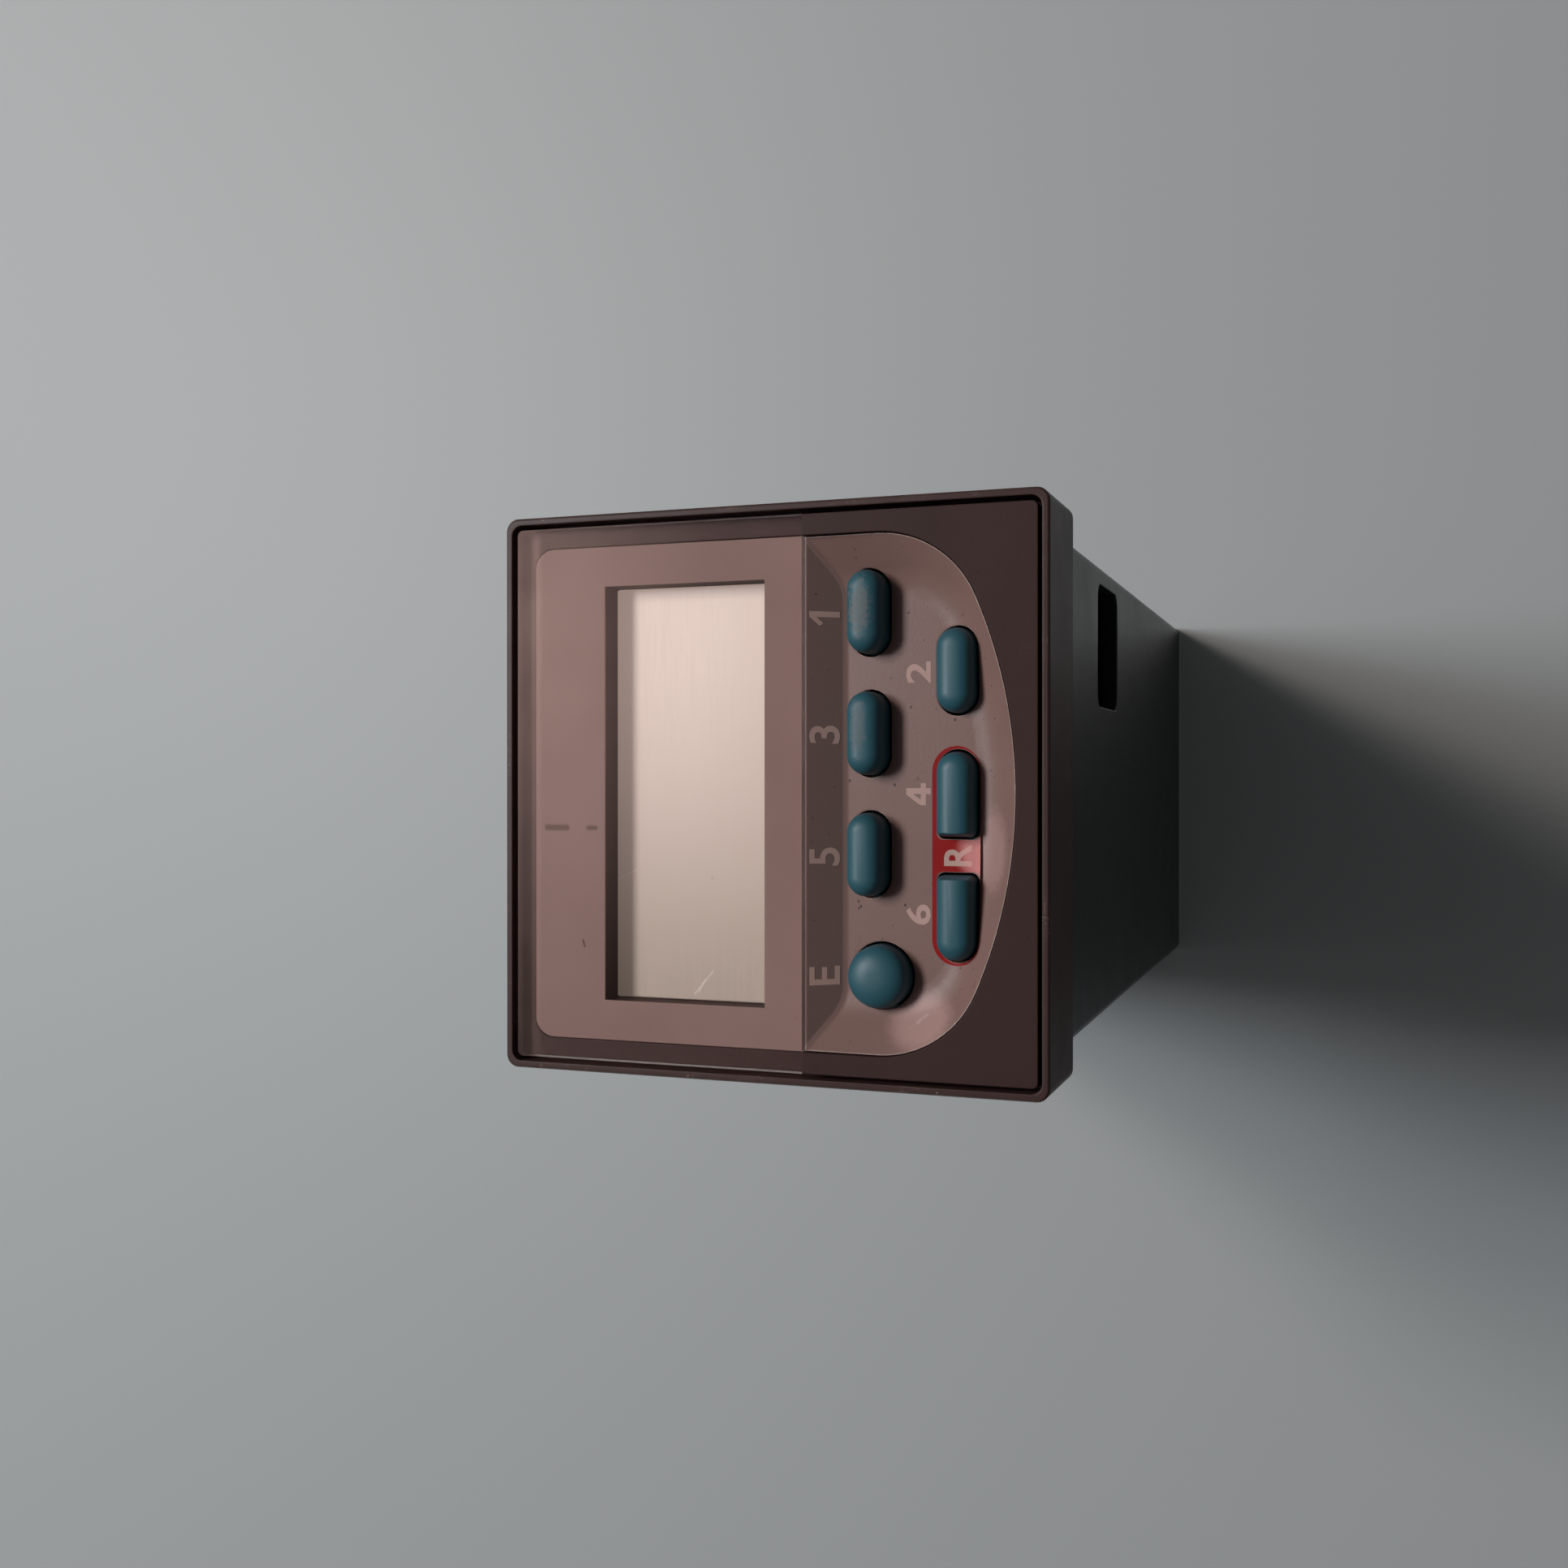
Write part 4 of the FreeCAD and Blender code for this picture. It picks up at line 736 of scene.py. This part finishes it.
def display_film():
    """Thin film on the display glass, inside the opening of the printed mask."""
    low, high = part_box("display_mask")
    corners = []
    for vertex in nodes["display_mask"].data.vertices:
        inside = low[0] + MASK_MARGIN < vertex.co.x < high[0] - MASK_MARGIN
        if inside and low[2] + MASK_MARGIN / 2 < vertex.co.z < high[2] - MASK_MARGIN:
            corners.append(vertex.co)
    left = min(corner.x for corner in corners) + FILM_PLAY
    right = max(corner.x for corner in corners) - FILM_PLAY
    bottom = min(corner.z for corner in corners) + FILM_PLAY
    top = max(corner.z for corner in corners) - FILM_PLAY
    front = FILM_FACE * MM
    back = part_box("lcd_front_glass")[0][1]
    size = Matrix.Diagonal((right - left, back - front, top - bottom, 1))
    middle = Matrix.Translation(((left + right) / 2, (front + back) / 2, (bottom + top) / 2))
    build = bmesh.new()
    bmesh.ops.create_cube(build, size=1, matrix=middle @ size)
    bmesh.ops.bevel(build, geom=build.edges, offset=FILM_ROUND, segments=2, profile=0.5, affect="EDGES")
    film = new_piece("display_film", mesh_from("display_film", build), FINISHES["display_glass"], ROOT)


display_film()

# Domed keys, with an ear at each end that holds them under the dish
EAR_REACH = 0.4 * MM
EAR_THICKNESS = 0.7 * MM
EAR_WIDTH = 2.4 * MM
KEY_DOME = 1.75 * MM
SKIRT_DROP = 1.2 * KEY_DOME
DOME_POWER = 2.5
DOME_STEPS = 10
ARC_STEPS = 28
FLAT_CORNER = 0.5 * MM
LEAST_CORNER = 0.3 * FLAT_CORNER
FLAT_ROUND = 0.28 * MM
MERGE_GAP = 0.0005 * MM
FLAT_ENDS = {"key_6": 1, "key_4": -1}


def arc(middle_x, middle_z, radius, start, stop, steps):
    """Points of an arc in the face plane, angles in degrees."""
    points = []
    for step in range(steps + 1):
        angle = math.radians(start + (stop - start) * step / steps)
        points.append((middle_x + radius * math.cos(angle), middle_z + radius * math.sin(angle)))
    return points


def end_row(half_length, half_width, side, flat, inset):
    """Right (side 1) or left (side -1) end of a key outline, drawn in by an inset."""
    turn = 90 if side == 1 else 270
    if not flat:
        radius = half_width - inset
        return arc(side * (half_length - half_width), 0, radius, turn - 180, turn, ARC_STEPS)
    radius = max(FLAT_CORNER - inset, LEAST_CORNER)
    reach = half_length - min(inset, FLAT_ROUND) - radius
    rise = half_width - inset - radius
    half = ARC_STEPS // 2
    first = arc(side * reach, -side * rise, radius, turn - 180, turn - 90, half)
    return first + arc(side * reach, side * rise, radius, turn - 90, turn, half - 1)


def key_outline(half_length, half_width, flat_side, inset):
    """Closed outline of a key, with one flat end where a side is given."""
    right = end_row(half_length, half_width, 1, flat_side == 1, inset)
    return right + end_row(half_length, half_width, -1, flat_side == -1, inset)


def dome_key(name):
    """Key with a full dome over its top, in place of the plain key."""
    low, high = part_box(name)
    middle_x = (low[0] + high[0]) / 2
    middle_z = (low[2] + high[2]) / 2
    half_length = (high[0] - low[0]) / 2 - EAR_REACH
    half_width = (high[2] - low[2]) / 2
    flat_side = FLAT_ENDS.get(name, 0)
    build = bmesh.new()

    def ring(depth, inset):
        outline = key_outline(half_length, half_width, flat_side, inset)
        return [build.verts.new((middle_x + x, depth, middle_z + z)) for x, z in outline]

    rows = [ring(high[1], 0), ring(low[1] + SKIRT_DROP, 0)]
    for step in range(DOME_STEPS):
        angle = math.pi / 2 * step / DOME_STEPS
        inset = half_width * (1 - math.cos(angle) ** (2 / DOME_POWER))
        drop = KEY_DOME * (1 - math.sin(angle) ** (2 / DOME_POWER))
        rows.append(ring(low[1] + drop, inset))
    for first, second in zip(rows, rows[1:]):
        for face in bridge(build, first, second):
            face.smooth = True
    build.faces.new(rows[0])
    build.faces.new(rows[-1]).smooth = True
    ears = Matrix.Translation((middle_x, high[1] - EAR_THICKNESS / 2, middle_z))
    ears = ears @ Matrix.Diagonal((high[0] - low[0], EAR_THICKNESS, EAR_WIDTH, 1))
    bmesh.ops.create_cube(build, size=1, matrix=ears)
    bmesh.ops.remove_doubles(build, verts=build.verts, dist=MERGE_GAP)
    piece = new_piece("domed_" + name, mesh_from("domed_" + name, build), KEY_WORN.get(name, KEY_TEAL), name)
    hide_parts(name)


KEY_NAMES = ["key_enter", "key_1", "key_2", "key_3", "key_4", "key_5", "key_6"]
for key_name in KEY_NAMES:
    dome_key(key_name)


# Legends and the red field, laid on the dish
INK_LIFT = 0.012 * MM
FRONT_PLANE = -12 * MM
dish_mesh = nodes["keypad_bowl"].data
dish_points = [vertex.co.copy() for vertex in dish_mesh.vertices]
dish_faces = [tuple(face.vertices) for face in dish_mesh.polygons]
dish_tree = BVHTree.FromPolygons(dish_points, dish_faces)


def on_dish(x, z, lift):
    """Point on the dish straight behind a place on the front."""
    hit = dish_tree.ray_cast(Vector((x, FRONT_PLANE, z)), Vector((0, 1, 0)))
    return hit[0] - Vector((0, lift, 0))


def drafted(character, bold):
    """Flat mesh of one character, its strokes thickened."""
    curve = bpy.data.curves.new("legend_text", "FONT")
    curve.body = character
    curve.offset = bold
    draft = bpy.data.objects.new("legend_draft", curve)
    bpy.context.scene.collection.objects.link(draft)
    mesh = bpy.data.meshes.new_from_object(draft)
    bpy.data.objects.remove(draft)
    return mesh


ONE_OUTLINE = [(0.5, 0), (0.5, 2.12), (0.02, 2.12), (-0.76, 1.42), (-0.55, 1.14), (0, 1.62), (0, 0)]
FOUR_OUTLINE = [
    (0.9, 0), (1.38, 0), (1.38, 0.42), (1.8, 0.42), (1.8, 0.86), (1.38, 0.86), (1.38, 2.12),
    (0.86, 2.12), (0, 0.9), (0, 0.42), (0.9, 0.42),
]
FOUR_COUNTER = [(0.9, 0.86), (0.9, 1.52), (0.45, 0.86)]
OWN_OUTLINES = {"1": [ONE_OUTLINE], "4": [FOUR_OUTLINE, FOUR_COUNTER]}


def outlined(character):
    """Flat mesh of one character from its own outlines, the second one a hole."""
    build = bmesh.new()
    edges = []
    for outline in OWN_OUTLINES[character]:
        row = [build.verts.new((x, y, 0)) for x, y in outline]
        edges += [build.edges.new((row[index - 1], row[index])) for index in range(len(row))]
    bmesh.ops.triangle_fill(build, edges=edges, use_beauty=True)
    return mesh_from("legend_outline", build)


def legend(character, x, z, width, height, bold, ink, lift=INK_LIFT):
    """One printed character on the dish, of given middle, width and height in mm."""
    name = "legend_" + character
    mesh = outlined(character) if character in OWN_OUTLINES else drafted(character, bold)
    xs = [vertex.co.x for vertex in mesh.vertices]
    ys = [vertex.co.y for vertex in mesh.vertices]
    for vertex in mesh.vertices:
        across = (vertex.co.x - min(xs)) / (max(xs) - min(xs)) - 0.5
        up = (vertex.co.y - min(ys)) / (max(ys) - min(ys)) - 0.5
        vertex.co = on_dish((x + across * width) * MM, (z + up * height) * MM, lift)
    mesh.name = name
    new_piece(name, mesh, ink, ROOT)


# Legends: level, height, place across and width in mm, and the stroke added in the font's own unit
STRIP_LEVEL = -4.88
FLOOR_LEVEL = -12.76
LEGEND_HEIGHT = 2.12
STRIP_BOLD = 0.018
FLOOR_BOLD = 0.022
STRIP_LEGENDS = {"E": (-15.05, 1.55), "5": (-5.2, 1.5), "3": (4.9, 1.5), "1": (14.5, 1.2)}
FLOOR_LEGENDS = {"6": (-9.8, 1.65), "4": (0.0, 1.8), "2": (9.9, 1.75)}
for character, (legend_x, legend_width) in STRIP_LEGENDS.items():
    legend(character, legend_x, STRIP_LEVEL, legend_width, LEGEND_HEIGHT, STRIP_BOLD, STRIP_INK_PAINTED_LIGHT)
for character, (legend_x, legend_width) in FLOOR_LEGENDS.items():
    legend(character, legend_x, FLOOR_LEVEL, legend_width, LEGEND_HEIGHT, FLOOR_BOLD, FLOOR_INK)
legend("R", x=-4.9, z=-16.14, width=1.8, height=2.35, bold=FLOOR_BOLD, ink=FLOOR_INK, lift=2 * INK_LIFT)


def middle_of(name):
    """Middle of a node's box, in mm."""
    low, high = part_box(name)
    return [(first + second) / 2 / MM for first, second in zip(low, high)]


# Red field round two keys, in mm
FIELD_MARGIN = 0.47
FIELD_SHIFT = 0.15
HOLE_GAP = 0.25


def red_field():
    """Pill of red ink round the holes of two keys."""
    build = bmesh.new()
    left = middle_of("key_6")
    right = middle_of("key_4")
    low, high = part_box("key_6")
    half_length = (high[0] - low[0]) / 2 - EAR_REACH
    half_width = (high[2] - low[2]) / 2

    def outline(middle_x, middle_z, length, width, flat_side):
        points = key_outline(length, width, flat_side, 0)
        row = [build.verts.new(on_dish(middle_x * MM + x, middle_z * MM + z, INK_LIFT)) for x, z in points]
        return [build.edges.new((row[index - 1], row[index])) for index in range(len(row))]

    span = (right[0] - left[0]) * MM / 2 + half_length + FIELD_MARGIN * MM
    edges = outline((left[0] + right[0]) / 2, left[2] + FIELD_SHIFT, span, half_width + FIELD_MARGIN * MM, 0)
    gap = HOLE_GAP * MM
    for middle, name in ((left, "key_6"), (right, "key_4")):
        edges += outline(middle[0], middle[2], half_length + gap, half_width + gap, FLAT_ENDS[name])
    bmesh.ops.triangle_fill(build, edges=edges, use_beauty=True)
    new_piece("reset_field", mesh_from("reset_field", build), RED_INK, ROOT)


red_field()

# Slotted terminal screws
POLES = 7
SLOT_WIDTH = 0.55 * MM
SLOT_DEPTH = 0.7 * MM
HEAD_CHAMFER = 0.25 * MM
HEAD_STEPS = 20


def slotted_screws(name):
    """Row of round slotted heads in place of the plain ones."""
    low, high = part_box(name)
    radius = (high[2] - low[2]) / 2
    pitch = (high[0] - low[0] - 2 * radius) / (POLES - 1)
    middle_z = (low[2] + high[2]) / 2
    build = bmesh.new()

    def ring(outline, middle_x, depth):
        return [build.verts.new((middle_x + x, depth, middle_z + z)) for x, z in outline]

    def half_head(edge, turn):
        start = math.degrees(math.asin(SLOT_WIDTH / 2 / edge))
        return arc(0, 0, edge, turn + start, turn + 180 - start, HEAD_STEPS)

    for pole in range(POLES):
        middle_x = low[0] + radius + pole * pitch
        shank = arc(0, 0, radius, 0, 360 - 360 / (2 * HEAD_STEPS), 2 * HEAD_STEPS - 1)
        front = ring(shank, middle_x, low[1])
        back = ring(shank, middle_x, high[1] - SLOT_DEPTH)
        build.faces.new(front)
        build.faces.new(back)
        bridge(build, front, back)
        for turn in (0, 180):
            rows = [ring(half_head(radius, turn), middle_x, high[1] - SLOT_DEPTH)]
            rows.append(ring(half_head(radius, turn), middle_x, high[1] - HEAD_CHAMFER))
            rows.append(ring(half_head(radius - HEAD_CHAMFER, turn), middle_x, high[1]))
            for first, second in zip(rows, rows[1:]):
                bridge(build, first, second)
            build.faces.new(rows[-1])
    piece = new_piece("slotted_" + name, mesh_from("slotted_" + name, build), FINISHES["screw_steel"], ROOT)
    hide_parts(name)


slotted_screws("terminal_screws_upper")
slotted_screws("terminal_screws_lower")


# Stage: the table it stands on by its rear, and a floor for the other views, sizes in metres
STAGE_FADE = (0.45, 1.1)
STAGE_HALF = 1.5
STAGE_SHADE = 0.96


def stage_plane(name, place, turn, colour):
    """Wide plain sheet that shows on its upper side only and fades out far away."""
    finish = Finish(name, srgb(*colour), 0.6)
    shade = srgb(*[value * STAGE_SHADE for value in colour])
    finish.grain(scale=40.0, depth=0.01, shade=shade, shading=0.5)
    behind = finish.add("ShaderNodeNewGeometry").outputs["Backfacing"]
    away = finish.add("ShaderNodeVectorMath", {0: finish.place}, operation="LENGTH").outputs["Value"]
    gone = finish.calc("MAXIMUM", behind, finish.fade(away, *STAGE_FADE))
    clear = finish.add("ShaderNodeBsdfTransparent").outputs[0]
    mixed = finish.add("ShaderNodeMixShader", {0: gone, 1: finish.shader.outputs[0], 2: clear})
    finish.feed(finish.output, mixed.outputs[0])
    build = bmesh.new()
    spread = Matrix.Translation(place) @ turn
    bmesh.ops.create_grid(build, x_segments=1, y_segments=1, size=STAGE_HALF, matrix=spread)
    mesh = bpy.data.meshes.new(name)
    build.to_mesh(mesh)
    build.free()
    mesh.materials.append(finish.done())
    plane = bpy.data.objects.new(name, mesh)
    bpy.context.scene.collection.objects.link(plane)
    return plane


TABLE_GAP = 0.2 * MM
upright = Matrix.Rotation(math.radians(90), 4, "X")
table = stage_plane("stage_table", (0, cad_box[1][1] + TABLE_GAP, 0), upright, (157, 160, 160))
table.visible_shadow = False
table.visible_diffuse = False
floor = stage_plane("stage_floor", (0, 0, cad_box[0][2] - TABLE_GAP), Matrix.Identity(4), (192, 194, 195))
floor.visible_diffuse = False
floor.visible_glossy = False
floor.visible_transmission = False
floor.visible_shadow = False

# Light: a dim room with one soft glow, and a plain pale backdrop where the view looks past the object
GLOW_DIRECTION = (0.2, -0.76, 0.64)
GLOW_SPREAD = (0.91, 1.0)
GLOW_LEVEL = 1.1
ROOM_LEVEL = 0.1
REAR_FADE = (-0.1, 0.1)
world = bpy.data.worlds.new("pale room")
world.use_nodes = True
room = Wiring(world.node_tree)
room.tree.nodes.clear()
path = room.add("ShaderNodeLightPath").outputs
heading = room.add("ShaderNodeTexCoord").outputs["Generated"]
facing_lamp = room.vector("DOT_PRODUCT", heading, Vector(GLOW_DIRECTION).normalized()).outputs["Value"]
level = room.scaled(room.fade(facing_lamp, *GLOW_SPREAD), GLOW_LEVEL, ROOM_LEVEL)
glow = room.add("ShaderNodeBackground", {"Color": srgb(250, 250, 252), "Strength": level})
view = room.add("ShaderNodeBackground", {"Color": srgb(226, 229, 231), "Strength": 1.0})
depth = room.parts(heading)[1]
beyond = room.calc("MAXIMUM", path["Is Glossy Ray"], path["Is Transmission Ray"])
beyond = room.calc("MULTIPLY", beyond, room.fade(depth, *REAR_FADE))
seen = room.calc("MAXIMUM", path["Is Camera Ray"], beyond)
joined = room.add("ShaderNodeMixShader", {0: seen, 1: glow.outputs[0], 2: view.outputs[0]})
room.add("ShaderNodeOutputWorld", {"Surface": joined.outputs[0]})
bpy.context.scene.world = world


def lamp(name, direction, distance, size, power, colour):
    """Square soft lamp on a direction from the object, turned to it."""
    light = bpy.data.lights.new(name, "AREA")
    light.size = size
    light.energy = power
    light.color = colour
    placed = bpy.data.objects.new(name, light)
    bpy.context.scene.collection.objects.link(placed)
    placed.location = Vector(direction).normalized() * distance
    placed.rotation_euler = Vector(direction).to_track_quat("Z", "Y").to_euler()


MAIN_DISTANCE = 1.1
MAIN_SIZE = 0.22
FILL_DISTANCE = 0.8
FILL_SIZE = 0.5
COOL = (0.94, 1.0, 1.04)
WARM = (1.08, 0.99, 0.94)
WHITE = (1.0, 1.0, 1.0)
lamp("cool_lamp", (0.12, -0.76, 0.645), MAIN_DISTANCE, MAIN_SIZE, power=6.6, colour=COOL)
lamp("warm_lamp", (0.34, -0.76, 0.62), MAIN_DISTANCE, MAIN_SIZE, power=4.6, colour=WARM)
lamp("rear_lamp", (0.45, 0.8, 0.4), FILL_DISTANCE, FILL_SIZE, power=4.0, colour=WHITE)
lamp("side_lamp", (-0.8, 0.4, 0.4), FILL_DISTANCE, FILL_SIZE, power=2.5, colour=WHITE)

# Camera
CAMERA_PLACE = Vector((1.08, -135.43, -48.32)) * MM
CAMERA_RIGHT = Vector((-0.00019, 0.34639, -0.93809))
CAMERA_BACK = Vector((0.00194, -0.93809, -0.34639))
CAMERA_SENSOR = 36.0
CAMERA_LENS = 37.307
CAMERA_NEAR = 0.005
camera_data = bpy.data.cameras.new("camera")
camera_data.sensor_width = CAMERA_SENSOR
camera_data.lens = CAMERA_LENS
camera_data.clip_start = CAMERA_NEAR
camera = bpy.data.objects.new("camera", camera_data)
bpy.context.scene.collection.objects.link(camera)
back = CAMERA_BACK.normalized()
right = (CAMERA_RIGHT - back * CAMERA_RIGHT.dot(back)).normalized()
turned = Matrix((right, back.cross(right), back)).transposed()
camera.matrix_world = Matrix.Translation(CAMERA_PLACE) @ turned.to_4x4()
bpy.context.scene.camera = camera
bpy.context.scene.view_settings.view_transform = "Standard"
